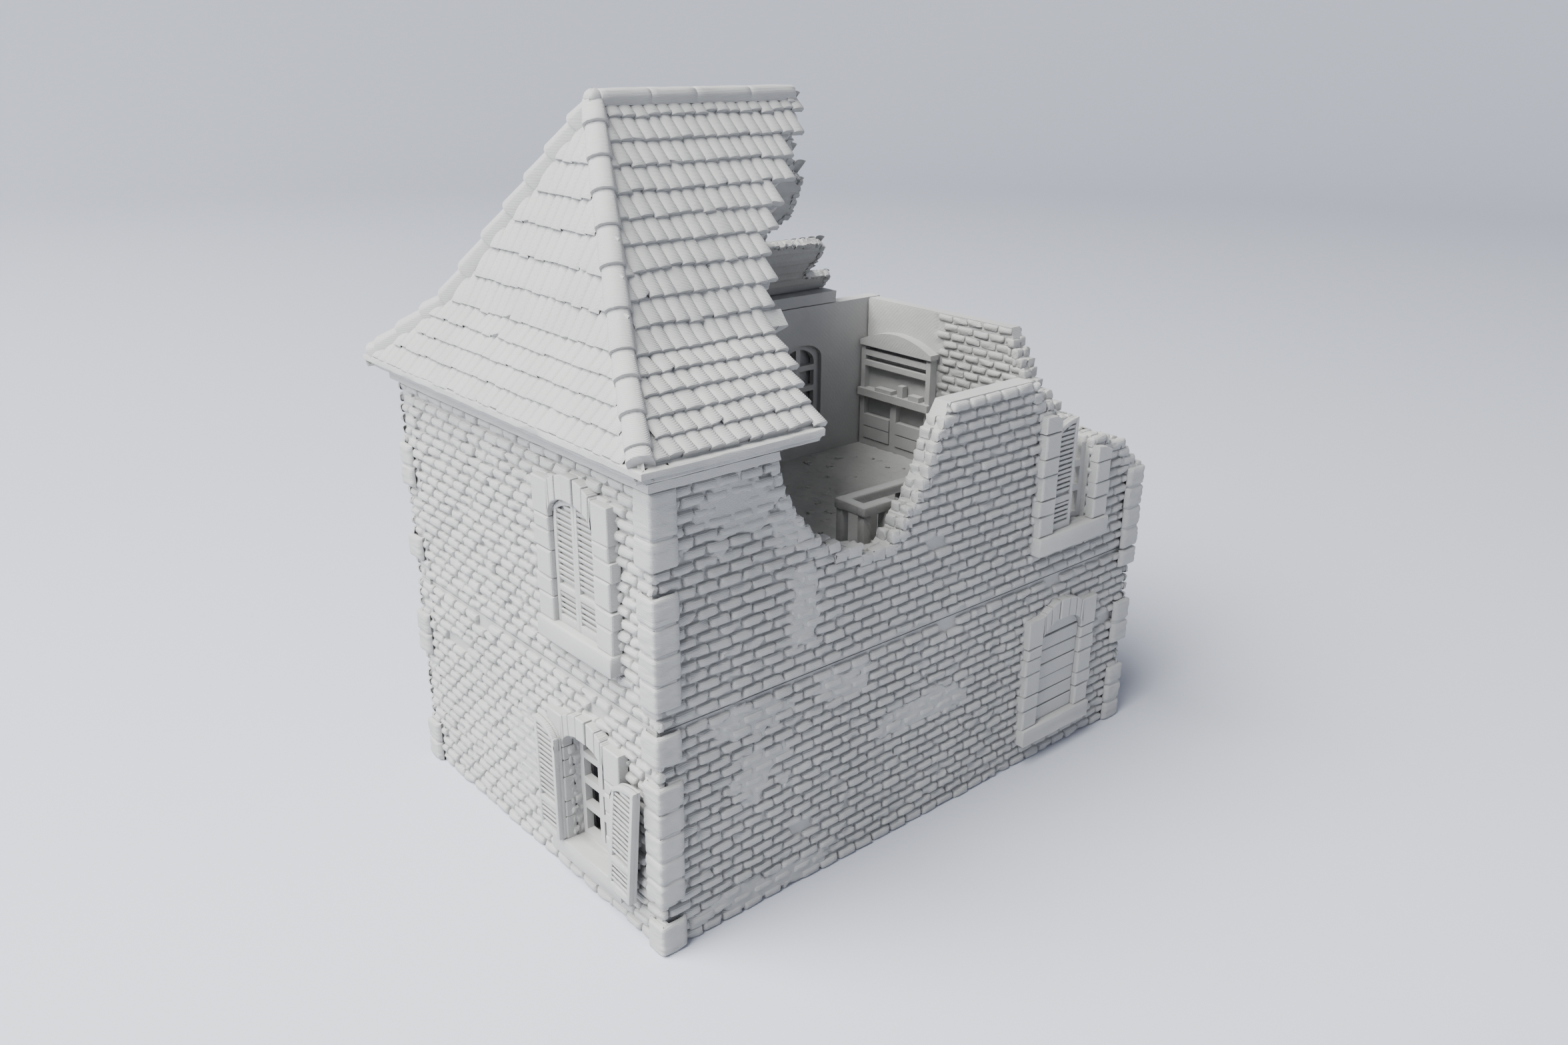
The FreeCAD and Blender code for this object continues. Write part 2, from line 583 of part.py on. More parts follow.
def broken_away(edge, sign, past=10.0):
    """Upright block over everything past a slope's broken edge, given as (distance from left, run share)."""
    points = [(X_LEFT + x, sign * (SIDE_RUN - share * SIDE_RUN)) for x, share in edge]
    points[0] = (points[0][0], sign * (SIDE_RUN + past))
    points[-1] = (points[-1][0], 0)
    points += [(CLEAR, 0), (CLEAR, sign * (SIDE_RUN + past))]
    return prism([(x, y, 0) for x, y in points], (0, 0, CLEAR))


def side_slope(sign, edge):
    section = slope_section(SIDE_RUN)
    x0 = X_LEFT - EAVES_OUT
    body = prism([(x0, sign * (SIDE_RUN - d), z) for d, z in section], (LENGTH + 2 * EAVES_OUT, 0, 0))
    return body.cut(hip_cutter(sign)).cut(broken_away(edge, sign))


def hip_slope():
    section = slope_section(HIP_RUN)
    x0 = X_LEFT - EAVES_OUT
    body = prism([(x0 + d, -SIDE_RUN, z) for d, z in section], (0, 2 * SIDE_RUN, 0))
    return body.common(fuse([hip_cutter(1), hip_cutter(-1)]))


def ridge_cap(knob_room=1.5, reach=91.3):
    """Ridge tiles as one faceted cap, from the knob to the broken end."""
    start = RIDGE_START + knob_room
    half = [(3.4, -2.2), (2.7, 0.1), (1.4, 1.1)]
    outline = [(-y, RIDGE_Z + z) for y, z in half] + [(y, RIDGE_Z + z) for y, z in half[::-1]]
    return prism([(start, y, z) for y, z in outline], (X_LEFT + reach - start, 0, 0))


def ridge_knob(radius=2.3, inward=0.6, sunk=0.9):
    """Ball closing the ridge where the two hips meet."""
    return Part.makeSphere(radius, V(RIDGE_START + inward, 0, RIDGE_Z - sunk))


def hip_points(sign):
    x0 = X_LEFT - EAVES_OUT
    y0 = sign * SIDE_RUN
    foot = V(x0, y0, CORNICE_TOP)
    kick = V(x0 + HIP_RUN * KICK_RUN, y0 * (1 - KICK_RUN), CORNICE_TOP + RISE * KICK_RISE)
    top = V(x0 + HIP_RUN, 0, RIDGE_Z)
    return foot, kick, top


def hip_tile_run(sign, low_radius=3.3, high_radius=2.4, skipped=0.25, knob_room=4.0, gap=0.15):
    """Half-round tiles end to end up one hip, each wider at its lower end."""
    foot, kick, top = hip_points(sign)
    tiles = []
    for start, end, count in ((foot, kick, 4), (kick, top, 6)):
        step = (end - start) * (1.0 / count)
        for i in range(count):
            base = start + step * i
            length = step.Length
            if start is foot and i == 0:
                base = base + step * skipped
                length = length * (1 - skipped)
            if end is top and i == count - 1:
                length = length - knob_room
            tiles.append(Part.makeCone(low_radius, high_radius, length - gap, base, step))
    return tiles


def build_roof():
    timber = purlin()
    front = side_slope(-1, FRONT_EDGE).cut(timber)
    back = side_slope(1, BACK_EDGE)
    hip = hip_slope()
    cap = ridge_cap()
    knob = ridge_knob()
    ridge_room = fuse([cap, knob])
    front = front.cut(ridge_room)
    back = back.cut(ridge_room)
    hip = hip.cut(ridge_room)
    room = box(X_LEFT - EAVES_OUT, X_RIGHT, -SIDE_RUN, SIDE_RUN, CORNICE_TOP, RIDGE_Z + 5)
    save("roof_front_slope", front)
    save("roof_back_slope", back)
    save("roof_hip_end", hip)
    save("ridge_capping", cap.cut(knob))
    save("ridge_knob", knob)
    for sign, name in ((-1, "hip_tiles_front"), (1, "hip_tiles_back")):
        cones = hip_tile_run(sign)
        tiles = [cone.cut(front).cut(back).cut(hip).cut(ridge_room).common(room) for cone in cones]
        solids = [max(tile.Solids, key=lambda s: s.CenterOfMass.z + s.Volume) for tile in tiles]
        lapped = [solids[i].cut(solids[i - 1]) for i in range(1, len(solids))]
        save(name, solids[0], *lapped)
    save("purlin", timber)


def purlin(low=0.375, high=0.415, top=-1.1, under=-5.0, inward=8.0, reach=57.0):
    """Timber let into the front slope just above the kick, broken off past the tiles.

    Its section lies square to the slope: low and high are shares of the run, top and under are
    distances from the tiled face.
    """
    kick_z = CORNICE_TOP + RISE * KICK_RISE
    climb = (RIDGE_Z - kick_z) / (SIDE_RUN * (1 - KICK_RUN))
    square = math.hypot(1, climb)
    start = RIDGE_START - inward
    end = X_LEFT + reach
    outline = []
    for share, off in ((low, under), (high, under), (high, top), (low, top)):
        y = -SIDE_RUN * (1 - share) - off * climb / square
        z = kick_z + climb * SIDE_RUN * (share - KICK_RUN) + off / square
        outline.append((start, y, z))
    beam = prism(outline, (end - start, 0, 0))
    return beam.cut(splinter(end, outline[3][1], outline[3][2]))


def splinter(end, y, z, split=4.0, drop=9.0, clear=3.0, across=16.0):
    """Wedge gone from the purlin's broken end, measured from its lower top edge."""
    near = y - clear
    outline = [(end - split, near, z - drop), (end + 1, near, z - drop), (end + 1, near, z + 1)]
    return prism(outline, (0, across, 0))


CORNICE_SECTION = [
    (-WALL, WALL_HEAD), (4.2, WALL_HEAD), (4.4, WALL_HEAD + 1.5), (4.9, WALL_HEAD + 1.7), (4.9, CORNICE_TOP),
    (-WALL, CORNICE_TOP),
]


def cornice_length(length, start_mitre, end_mitre, overrun=20.0, spare=5.0):
    """Moulding along one side; out is measured from the corner stone face."""
    body = prism([(-overrun, -out, z) for out, z in CORNICE_SECTION], (length + 2 * overrun, 0, 0))
    far = overrun + spare
    past = length + far
    if start_mitre:
        wedge = [(-far, -far, 0), (overrun, overrun, 0), (-far, overrun, 0)]
        body = body.cut(prism(wedge, (0, 0, CLEAR)))
    if end_mitre:
        wedge = [(past, -far, 0), (length - overrun, overrun, 0), (past, overrun, 0)]
        body = body.cut(prism(wedge, (0, 0, CLEAR)))
    return body


def stretch(a0, a1):
    """Block over everything on a wall between two places along it."""
    return box(a0, a1, -CLEAR, CLEAR, 0, CLEAR)


def build_cornice(front_end=44.5, back_end=159.5):
    front = cornice_length(LENGTH, True, False).cut(stretch(front_end, CLEAR))
    left = cornice_length(WIDTH, True, True)
    back = cornice_length(LENGTH, False, True).cut(stretch(-CLEAR, LENGTH - back_end))
    save("cornice_front", on_wall(front, "front"))
    save("cornice_left", on_wall(left, "left"))
    save("cornice_back", on_wall(back, "back"))


def build_roof_lip(thick=2.0, seat=0.3, drop=4.0, inset=20.0, front_end=33.0, back_end=120.0):
    """Short rims under the cornice that drop inside the upper storey's wall head."""
    z0 = WALL_HEAD - drop
    z1 = WALL_HEAD + 1
    near = WALL + seat
    front = box(inset, front_end, near, near + thick, z0, z1)
    left = box(inset, WIDTH - inset, near, near + thick, z0, z1)
    back = box(LENGTH - back_end, LENGTH - inset, near, near + thick, z0, z1)
    pads = []
    for shape, side in ((front, "front"), (left, "left"), (back, "back")):
        size = shape.BoundBox
        ledge = box(size.XMin, size.XMax, WALL, near + thick, WALL_HEAD, CORNICE_TOP)
        pads.append(on_wall(fuse([shape, ledge]), side))
    save("roof_locating_lip", *pads)


def main():
    os.makedirs("parts", exist_ok=True)
    build_ground_walls()
    build_upper_walls()
    save("ground_quoins", *quoins(GROUND_QUOINS))
    save("upper_quoins", *quoins(UPPER_QUOINS))
    build_ground_fittings()
    build_upper_fittings()
    build_frieze()
    build_floors()
    build_locating_lip()
    build_staircase()
    build_guard()
    build_dresser()
    build_roof()
    build_cornice()
    build_roof_lip()


main()
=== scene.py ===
import math

import bpy
import numpy as np
from mathutils import Matrix, Vector
from mathutils.geometry import tessellate_polygon


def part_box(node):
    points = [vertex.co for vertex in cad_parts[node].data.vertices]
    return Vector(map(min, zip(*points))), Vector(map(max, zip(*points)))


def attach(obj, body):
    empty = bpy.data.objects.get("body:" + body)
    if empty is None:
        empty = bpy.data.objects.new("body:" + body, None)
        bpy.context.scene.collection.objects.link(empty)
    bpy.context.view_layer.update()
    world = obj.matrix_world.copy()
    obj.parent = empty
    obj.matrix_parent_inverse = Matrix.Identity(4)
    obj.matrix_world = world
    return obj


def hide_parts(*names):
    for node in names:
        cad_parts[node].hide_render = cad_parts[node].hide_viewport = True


# Looks of the ruined miniature house. Geometry is worked out in millimetres in the frame of
# the CAD and turned into metres when a piece is made.
# Wall coordinates are (along, depth, up): along runs to the right seen from outside.

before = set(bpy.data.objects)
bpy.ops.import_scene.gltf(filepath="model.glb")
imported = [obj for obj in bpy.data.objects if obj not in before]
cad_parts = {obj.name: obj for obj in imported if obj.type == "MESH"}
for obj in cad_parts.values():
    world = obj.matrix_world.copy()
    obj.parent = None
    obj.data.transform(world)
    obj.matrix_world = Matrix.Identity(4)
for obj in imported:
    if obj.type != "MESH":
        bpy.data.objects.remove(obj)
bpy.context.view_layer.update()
rng = np.random.default_rng(2024)


# ---- places read from the frame -------------------------------------------------
def box_mm(node):
    low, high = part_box(node)
    return np.array(low) * 1000, np.array(high) * 1000


LOW, HIGH = box_mm("ground_quoins")
X_LEFT, Y_FRONT = LOW[0], LOW[1]
X_RIGHT, Y_BACK = HIGH[0], HIGH[1]
LENGTH, WIDTH = X_RIGHT - X_LEFT, Y_BACK - Y_FRONT
FACE = box_mm("ground_wall_front")[0][1] - Y_FRONT
WALL = box_mm("ground_wall_front")[1][1] - Y_FRONT
GROUND_HEAD = box_mm("ground_wall_front")[1][2]
UPPER_FOOT, UPPER_HEAD = box_mm("upper_wall_back")[0][2], box_mm("upper_wall_back")[1][2]
FLOOR_TOP = box_mm("upper_floor_slab")[1][2]
GROUND_SILL = box_mm("ground_window_sills")[1][2]
UPPER_SILL = box_mm("upper_window_sills")[1][2]
CORNICE_TOP = box_mm("cornice_left")[1][2]
EAVES_OUT = X_LEFT - box_mm("cornice_left")[0][0]
RIDGE_Z = CORNICE_TOP + 68.8
SIDE_RUN = WIDTH / 2 + EAVES_OUT
HIP_RUN = 34.4
BED = FACE + 1.5

FRONT_BAY = (box_mm("ground_window_boards")[0][0] + box_mm("ground_window_boards")[1][0]) / 2 - X_LEFT
LEFT_BAY = Y_BACK - (box_mm("upper_left_surround")[0][1] + box_mm("upper_left_surround")[1][1]) / 2
BACK_BAY = X_RIGHT - (box_mm("upper_back_surround")[0][0] + box_mm("upper_back_surround")[1][0]) / 2
DOOR_BAY = X_RIGHT - (box_mm("doorway_surround")[0][0] + box_mm("doorway_surround")[1][0]) / 2
HALF = 9.25
JAMB = 16.0
TALL = 33.0
ARCH = 5.0
DOOR_HALF = 11.0
DOOR_CROWN = 46.0
DOOR_FOOT = 3.0

SIDES = {
    "front": ((X_LEFT, Y_FRONT), (1, 0), (0, 1)),
    "left": ((X_LEFT, Y_BACK), (0, -1), (1, 0)),
    "back": ((X_RIGHT, Y_BACK), (-1, 0), (0, -1)),
    "right": ((X_RIGHT, Y_FRONT), (0, 1), (-1, 0)),
}


def wall(side):
    """Function from wall coordinates to the model frame."""
    corner, along, inward = SIDES[side]

    def place(s, d, z):
        s, d, z = np.broadcast_arrays(s, d, z)
        return np.stack([corner[0] + s * along[0] + d * inward[0], corner[1] + s * along[1] + d * inward[1], z + 0.0], axis=-1)
    return place


def upright(x, y, z):
    return np.stack(np.broadcast_arrays(x, y, z), axis=-1).astype(float)


# ---- mesh building ---------------------------------------------------------------
def lump(x, y, seed):
    """Smooth random field between -1 and 1."""
    table = np.random.default_rng(seed).random((64, 64)) * 2 - 1
    xi, yi = np.floor(x).astype(int), np.floor(y).astype(int)
    fx, fy = x - xi, y - yi
    fx, fy = fx * fx * (3 - 2 * fx), fy * fy * (3 - 2 * fy)
    low = table[yi % 64, xi % 64] * (1 - fx) + table[yi % 64, (xi + 1) % 64] * fx
    high = table[(yi + 1) % 64, xi % 64] * (1 - fx) + table[(yi + 1) % 64, (xi + 1) % 64] * fx
    return low * (1 - fy) + high * fy


class Piece:
    """Vertices and faces gathered into one mesh object."""

    def __init__(self):
        self.verts, self.faces, self.count = [], [], 0

    def add(self, verts, faces, flip=False):
        verts = np.asarray(verts, float).reshape(-1, 3)
        step = -1 if flip else 1
        self.faces.extend([tuple(i + self.count for i in f[::step]) for f in faces])
        self.verts.append(verts)
        self.count += len(verts)

    def sheets(self, grids, keep=None, flip=False):
        """Quads over grids of points shaped (number, rows, columns, 3)."""
        n, rows, cols = grids.shape[:3]
        index = np.arange(n * rows * cols).reshape(n, rows, cols) + self.count
        quads = np.stack([index[:, :-1, :-1], index[:, :-1, 1:], index[:, 1:, 1:], index[:, 1:, :-1]], axis=-1)
        if keep is not None:
            quads = quads[keep]
        quads = quads.reshape(-1, 4)
        if flip:
            quads = quads[:, ::-1]
        self.faces.extend(map(tuple, quads.tolist()))
        self.verts.append(grids.reshape(-1, 3))
        self.count += n * rows * cols

    def make(self, name, body, nodes=(), smooth=55.0):
        mesh = bpy.data.meshes.new(name)
        verts = np.concatenate(self.verts) * 0.001
        mesh.from_pydata(verts.tolist(), [], self.faces)
        mesh.validate()
        if smooth:
            mesh.shade_smooth()
            mesh.set_sharp_from_angle(angle=math.radians(smooth))
        mesh.materials.append(PLASTIC)
        piece = bpy.data.objects.new(name, mesh)
        bpy.context.scene.collection.objects.link(piece)
        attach(piece, body)
        if nodes:
            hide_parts(*nodes)
        return piece


def block_template():
    """Faces of a box with five lines of points each way, as lattice places and quads."""
    place, quads, found = [], [], {}

    def at(p):
        if p not in found:
            found[p] = len(place)
            place.append(p)
        return found[p]
    for axis in range(3):
        a, b = [(1, 2), (2, 0), (0, 1)][axis]
        for end in (0, 4):
            for i in range(4):
                for j in range(4):
                    ring = []
                    for di, dj in ((0, 0), (1, 0), (1, 1), (0, 1)):
                        p = [0, 0, 0]
                        p[axis], p[a], p[b] = end, i + di, j + dj
                        ring.append(at(tuple(p)))
                    quads.append(ring if end else ring[::-1])
    return np.array(place), np.array(quads)


BLOCK_AT, BLOCK_QUADS = block_template()


def blocks(piece, place, boxes, radius=0.3, rough=0.06, lean=None, flip=False):
    """Rounded, slightly uneven boxes. Each is (a0, a1, b0, b1, c0, c1); lean shears b with c."""
    if len(boxes) == 0:
        return
    boxes = np.asarray(boxes, float)
    low, high = boxes[:, 0::2], boxes[:, 1::2]
    half = (high - low) / 2
    mid = (high + low) / 2
    r = np.minimum(radius, half.min(axis=1) * 0.9)[:, None]
    lines = np.stack([-half, -half + r, half * 0, half - r, half], axis=1)
    p = np.stack([lines[:, BLOCK_AT[:, k], k] for k in range(3)], axis=-1)
    core = np.clip(p, -(half - r)[:, None, :], (half - r)[:, None, :])
    out = p - core
    reach = np.linalg.norm(out, axis=-1, keepdims=True)
    p = core + out / np.maximum(reach, 1e-9) * r[:, None, :]
    if rough:
        push = rng.normal(0, rough, (len(boxes), 3, 3, 3, 3))
        cell = np.clip((BLOCK_AT + 1) // 2, 0, 2)
        p = p + push[:, cell[:, 0], cell[:, 1], cell[:, 2], :]
    p = p + mid[:, None, :]
    if lean is not None:
        p[..., 1] += lean * (p[..., 2] - mid[:, None, 2])
    points = place(p[..., 0], p[..., 1], p[..., 2])
    quads = (BLOCK_QUADS[None] + (np.arange(len(boxes)) * len(BLOCK_AT))[:, None, None]).reshape(-1, 4)
    if flip:
        quads = quads[:, ::-1]
    piece.faces.extend(map(tuple, (quads + piece.count).tolist()))
    piece.verts.append(points.reshape(-1, 3))
    piece.count += points.shape[0] * points.shape[1]


def inset(outline, amount):
    """The outline drawn in towards its inside by the same amount all round."""
    pts = np.asarray(outline, float)
    ahead, behind = np.roll(pts, -1, axis=0) - pts, pts - np.roll(pts, 1, axis=0)
    ahead /= np.maximum(np.linalg.norm(ahead, axis=1, keepdims=True), 1e-9)
    behind /= np.maximum(np.linalg.norm(behind, axis=1, keepdims=True), 1e-9)
    area = np.sum(pts[:, 0] * np.roll(pts[:, 1], -1) - np.roll(pts[:, 0], -1) * pts[:, 1])
    turn = 1 if area > 0 else -1
    n1 = np.stack([-ahead[:, 1], ahead[:, 0]], axis=1) * turn
    n2 = np.stack([-behind[:, 1], behind[:, 0]], axis=1) * turn
    both = n1 + n2
    scale = 2 / np.maximum(np.sum(both * both, axis=1, keepdims=True), 0.4)
    return pts + both * scale * amount


def stone(piece, place, outline, front, back, bevel=0.35, rough=0.08):
    """Flat stone with a bevelled face, from an outline in (along, up)."""
    pts = np.asarray(outline, float) + rng.normal(0, rough, (len(outline), 2))
    area = np.sum(pts[:, 0] * np.roll(pts[:, 1], -1) - np.roll(pts[:, 0], -1) * pts[:, 1])
    if area < 0:
        pts = pts[::-1]
    small = inset(pts, bevel)
    half = inset(pts, bevel * 0.3)
    n = len(pts)
    tilt = rng.normal(0, rough, 1)
    rings = [(small, front), (half, front + bevel * 0.35), (pts, front + bevel), (pts, back)]
    verts = [place(r[:, 0], np.full(n, d) + tilt * (i < 3), r[:, 1]) for i, (r, d) in enumerate(rings)]
    faces = [tuple(range(n))]
    for k in range(3):
        for i in range(n):
            j = (i + 1) % n
            faces.append((k * n + j, k * n + i, (k + 1) * n + i, (k + 1) * n + j))
    faces.append(tuple(range(4 * n - 1, 3 * n - 1, -1)))
    piece.add(np.concatenate(verts), faces)


def slab(piece, place, outline, holes, front, back):
    """Plain solid between two depths from an outline in (along, up) with holes."""
    loops = [list(outline)] + [list(h) for h in holes]
    flat = [p for loop in loops for p in loop]
    tris = tessellate_polygon([[Vector((a, c, 0)) for a, c in loop] for loop in loops])
    pts = np.array(flat, float)
    total = len(flat)
    verts = np.concatenate([place(pts[:, 0], np.full(total, front), pts[:, 1]), place(pts[:, 0], np.full(total, back), pts[:, 1])])
    faces = []
    for t in tris:
        a, b, c = pts[t[0]], pts[t[1]], pts[t[2]]
        turn = (b[0] - a[0]) * (c[1] - a[1]) - (c[0] - a[0]) * (b[1] - a[1])
        t = tuple(t) if turn > 0 else tuple(t[::-1])
        faces += [t, tuple(i + total for i in t[::-1])]
    start = 0
    for k, loop in enumerate(loops):
        n = len(loop)
        area = sum(loop[i][0] * loop[(i + 1) % n][1] - loop[(i + 1) % n][0] * loop[i][1] for i in range(n))
        ahead = (area > 0) == (k == 0)
        for i in range(n):
            a, b = start + i, start + (i + 1) % n
            if not ahead:
                a, b = b, a
            faces.append((b, a, a + total, b + total))
        start += n
    piece.add(verts, faces)


# ---- materials ---------------------------------------------------------------------
def plastic_material():
    """Matt light grey printed plastic: fine layer lines, slight mottling, uneven sheen."""
    mat = bpy.data.materials.new("printed_plastic")
    mat.use_nodes = True
    tree = mat.node_tree
    nodes, link = tree.nodes, tree.links.new
    shader = nodes["Principled BSDF"]
    shader.inputs["IOR"].default_value = 1.46
    coords = nodes.new("ShaderNodeTexCoord")
    split = nodes.new("ShaderNodeSeparateXYZ")
    link(coords.outputs["Object"], split.inputs[0])

    tone = nodes.new("ShaderNodeTexNoise")
    tone.inputs["Scale"].default_value = 55
    tone.inputs["Detail"].default_value = 4
    link(coords.outputs["Object"], tone.inputs["Vector"])
    ramp = nodes.new("ShaderNodeValToRGB")
    ramp.color_ramp.elements[0].position = 0.3
    ramp.color_ramp.elements[0].color = (0.348, 0.348, 0.338, 1)
    ramp.color_ramp.elements[1].position = 0.72
    ramp.color_ramp.elements[1].color = (0.390, 0.389, 0.379, 1)
    link(tone.outputs["Fac"], ramp.inputs["Fac"])
    link(ramp.outputs["Color"], shader.inputs["Base Color"])

    sheen = nodes.new("ShaderNodeTexNoise")
    sheen.inputs["Scale"].default_value = 420
    sheen.inputs["Detail"].default_value = 3
    link(coords.outputs["Object"], sheen.inputs["Vector"])
    spread = nodes.new("ShaderNodeMapRange")
    spread.inputs["To Min"].default_value = 0.50
    spread.inputs["To Max"].default_value = 0.68
    link(sheen.outputs["Fac"], spread.inputs["Value"])
    link(spread.outputs["Result"], shader.inputs["Roughness"])

    turns = nodes.new("ShaderNodeMath")
    turns.operation = "MULTIPLY"
    turns.inputs[1].default_value = 2 * math.pi / 0.00028
    link(split.outputs["Z"], turns.inputs[0])
    layers = nodes.new("ShaderNodeMath")
    layers.operation = "SINE"
    link(turns.outputs[0], layers.inputs[0])
    layer_bump = nodes.new("ShaderNodeBump")
    layer_bump.inputs["Strength"].default_value = 0.6
    layer_bump.inputs["Distance"].default_value = 0.00006
    link(layers.outputs[0], layer_bump.inputs["Height"])
    grain = nodes.new("ShaderNodeTexNoise")
    grain.inputs["Scale"].default_value = 900
    grain.inputs["Detail"].default_value = 5
    link(coords.outputs["Object"], grain.inputs["Vector"])
    grain_bump = nodes.new("ShaderNodeBump")
    grain_bump.inputs["Strength"].default_value = 0.55
    grain_bump.inputs["Distance"].default_value = 0.00012
    link(grain.outputs["Fac"], grain_bump.inputs["Height"])
    link(layer_bump.outputs["Normal"], grain_bump.inputs["Normal"])
    link(grain_bump.outputs["Normal"], shader.inputs["Normal"])
    return mat


PLASTIC = plastic_material()


# ---- openings and outlines -----------------------------------------------------------
def arch_loop(centre, half, foot, crown, rise=ARCH, steps=14):
    points = [(centre - half, foot), (centre + half, foot)]
    for i in range(steps + 1):
        angle = math.pi * i / steps
        points.append((centre + half * math.cos(angle), crown - rise + rise * math.sin(angle)))
    return points


def arch_half(half, foot, crown, z, rise=ARCH):
    """Half width of an opening at a height, or None above and below it."""
    if z < foot or z > crown:
        return None
    if z < crown - rise:
        return half
    return half * math.sqrt(max(0.0, 1 - ((z - crown + rise) / rise) ** 2))


class Hole:
    def __init__(self, centre, half, foot, crown):
        self.centre, self.half, self.foot, self.crown = centre, half, foot, crown

    def loop(self):
        return arch_loop(self.centre, self.half, self.foot, self.crown)

    def span(self, z):
        half = arch_half(self.half, self.foot, self.crown, z)
        return None if half is None else (self.centre - half, self.centre + half)


def spans(outline, z, holes=()):
    """Lengths of a wall present at one height."""
    cuts = []
    n = len(outline)
    for i in range(n):
        (a, za), (b, zb) = outline[i], outline[(i + 1) % n]
        if (za <= z) != (zb <= z):
            cuts.append(a + (b - a) * (z - za) / (zb - za))
    cuts.sort()
    parts = [(cuts[i], cuts[i + 1]) for i in range(0, len(cuts) - 1, 2)]
    for hole in holes:
        gap = hole.span(z)
        if gap is None:
            continue
        left = []
        for a, b in parts:
            if gap[1] <= a or gap[0] >= b:
                left.append((a, b))
                continue
            if gap[0] > a:
                left.append((a, gap[0]))
            if gap[1] < b:
                left.append((gap[1], b))
        parts = left
    return parts


def subtract(parts, others):
    for c, d in others:
        left = []
        for a, b in parts:
            if d <= a or c >= b:
                left.append((a, b))
                continue
            if c > a:
                left.append((a, c))
            if d < b:
                left.append((d, b))
        parts = left
    return parts


def rectangle(a0, a1, z0, z1):
    return [(a0, z0), (a1, z0), (a1, z1), (a0, z1)]


# ---- brickwork ------------------------------------------------------------------------
COURSE = 2.985
BRICK = 6.53
COL_SHARE = np.array([0, 0, 0, .25, .5, .75, 1, 1, 1.0])
COL_EDGE = np.array([0, 0, 1, 0, 0, 0, -1, 0, 0.0])
ROW_SHARE = np.array([0, 0, 0, .5, 1, 1, 1.0])
ROW_EDGE = np.array([0, 0, 1, 0, -1, 0, 0.0])
RING = np.minimum.outer(np.array([0, 1, 2, 3, 2, 1, 0]), np.array([0, 1, 2, 3, 3, 3, 2, 1, 0]))


def brick_faces(piece, place, cells, face, bed, chips=0.3, relief=1.0, flip=False):
    """Worn brick faces standing out from a mortar bed; cells are (left, right, bottom, top)."""
    c = np.asarray(cells, float)
    n = len(c)
    lift = 0.5
    size_s, size_z = (c[:, 1] - c[:, 0])[:, None, None], (c[:, 3] - c[:, 2])[:, None, None]
    u = (COL_SHARE[None, None, :] - 0.5) * size_s + COL_EDGE[None, None, :] * lift + np.zeros((n, 7, 9))
    v = (ROW_SHARE[None, :, None] - 0.5) * size_z + ROW_EDGE[None, :, None] * lift + np.zeros((n, 7, 9))
    corner = np.stack([rng.uniform(0.5, 1.0, (n, 2)), rng.uniform(0.25, 0.6, (n, 2))], axis=1)
    r = corner[:, (ROW_SHARE > 0.5).astype(int)][:, :, (COL_SHARE > 0.5).astype(int)]
    over_u, over_v = np.abs(u) - (size_s / 2 - r), np.abs(v) - (size_z / 2 - r)
    inside = (over_u > 0) & (over_v > 0)
    scale = np.where(inside, np.maximum(over_u, over_v) / np.maximum(np.hypot(over_u, over_v), 1e-6), 1)
    u = np.where(inside, np.sign(u) * (size_s / 2 - r + over_u * scale), u)
    v = np.where(inside, np.sign(v) * (size_z / 2 - r + over_v * scale), v)
    nudge = rng.normal(0, 1, (n, 2, 2, 2)) * np.array([0.17, 0.10])
    fu, fv = COL_SHARE[None, None, :, None], ROW_SHARE[None, :, None, None]
    low = nudge[:, None, None, 0, 0] * (1 - fu) + nudge[:, None, None, 0, 1] * fu
    high = nudge[:, None, None, 1, 0] * (1 - fu) + nudge[:, None, None, 1, 1] * fu
    shift = low * (1 - fv) + high * fv + rng.normal(0, 0.045, (n, 7, 9, 2)) * (RING > 0)[None, :, :, None]
    u, v = u + shift[..., 0], v + shift[..., 1]
    depth = np.where(RING == 0, bed, np.where(RING == 1, face + 0.66, np.where(RING == 2, face + 0.11, face)))
    depth = depth[None] + np.zeros((n, 1, 1))
    s = u + ((c[:, 0] + c[:, 1]) / 2)[:, None, None]
    z = v + ((c[:, 2] + c[:, 3]) / 2)[:, None, None]
    raised = (RING > 0)[None]
    proud = rng.normal(0, 0.11, (n, 1, 1)) + rng.normal(0, 0.08, (n, 1, 1)) * u / 3 + rng.normal(0, 0.07, (n, 1, 1)) * v
    depth = depth + raised * (proud + 0.07 * lump(s * 0.9, z * 1.3, 5) + 0.10 * lump(s / 9, z / 9, 6)) * relief
    chipped = rng.random(n) < chips
    for _ in range(2):
        at_u = rng.uniform(-1, 1, (n, 1, 1)) * size_s / 2
        at_v = np.sign(rng.normal(0, 1, (n, 1, 1))) * size_z / 2 * rng.uniform(0.5, 1.1, (n, 1, 1))
        reach = rng.uniform(0.5, 1.5, (n, 1, 1))
        deep = rng.uniform(0.3, 0.9, (n, 1, 1)) * chipped[:, None, None]
        far = np.hypot(u - at_u, v - at_v)
        depth = depth + raised * deep * np.clip(1.3 - far / reach, 0, 1)
    depth = np.minimum(depth, bed + 0.05)
    piece.sheets(place(s, depth, z), flip=flip)


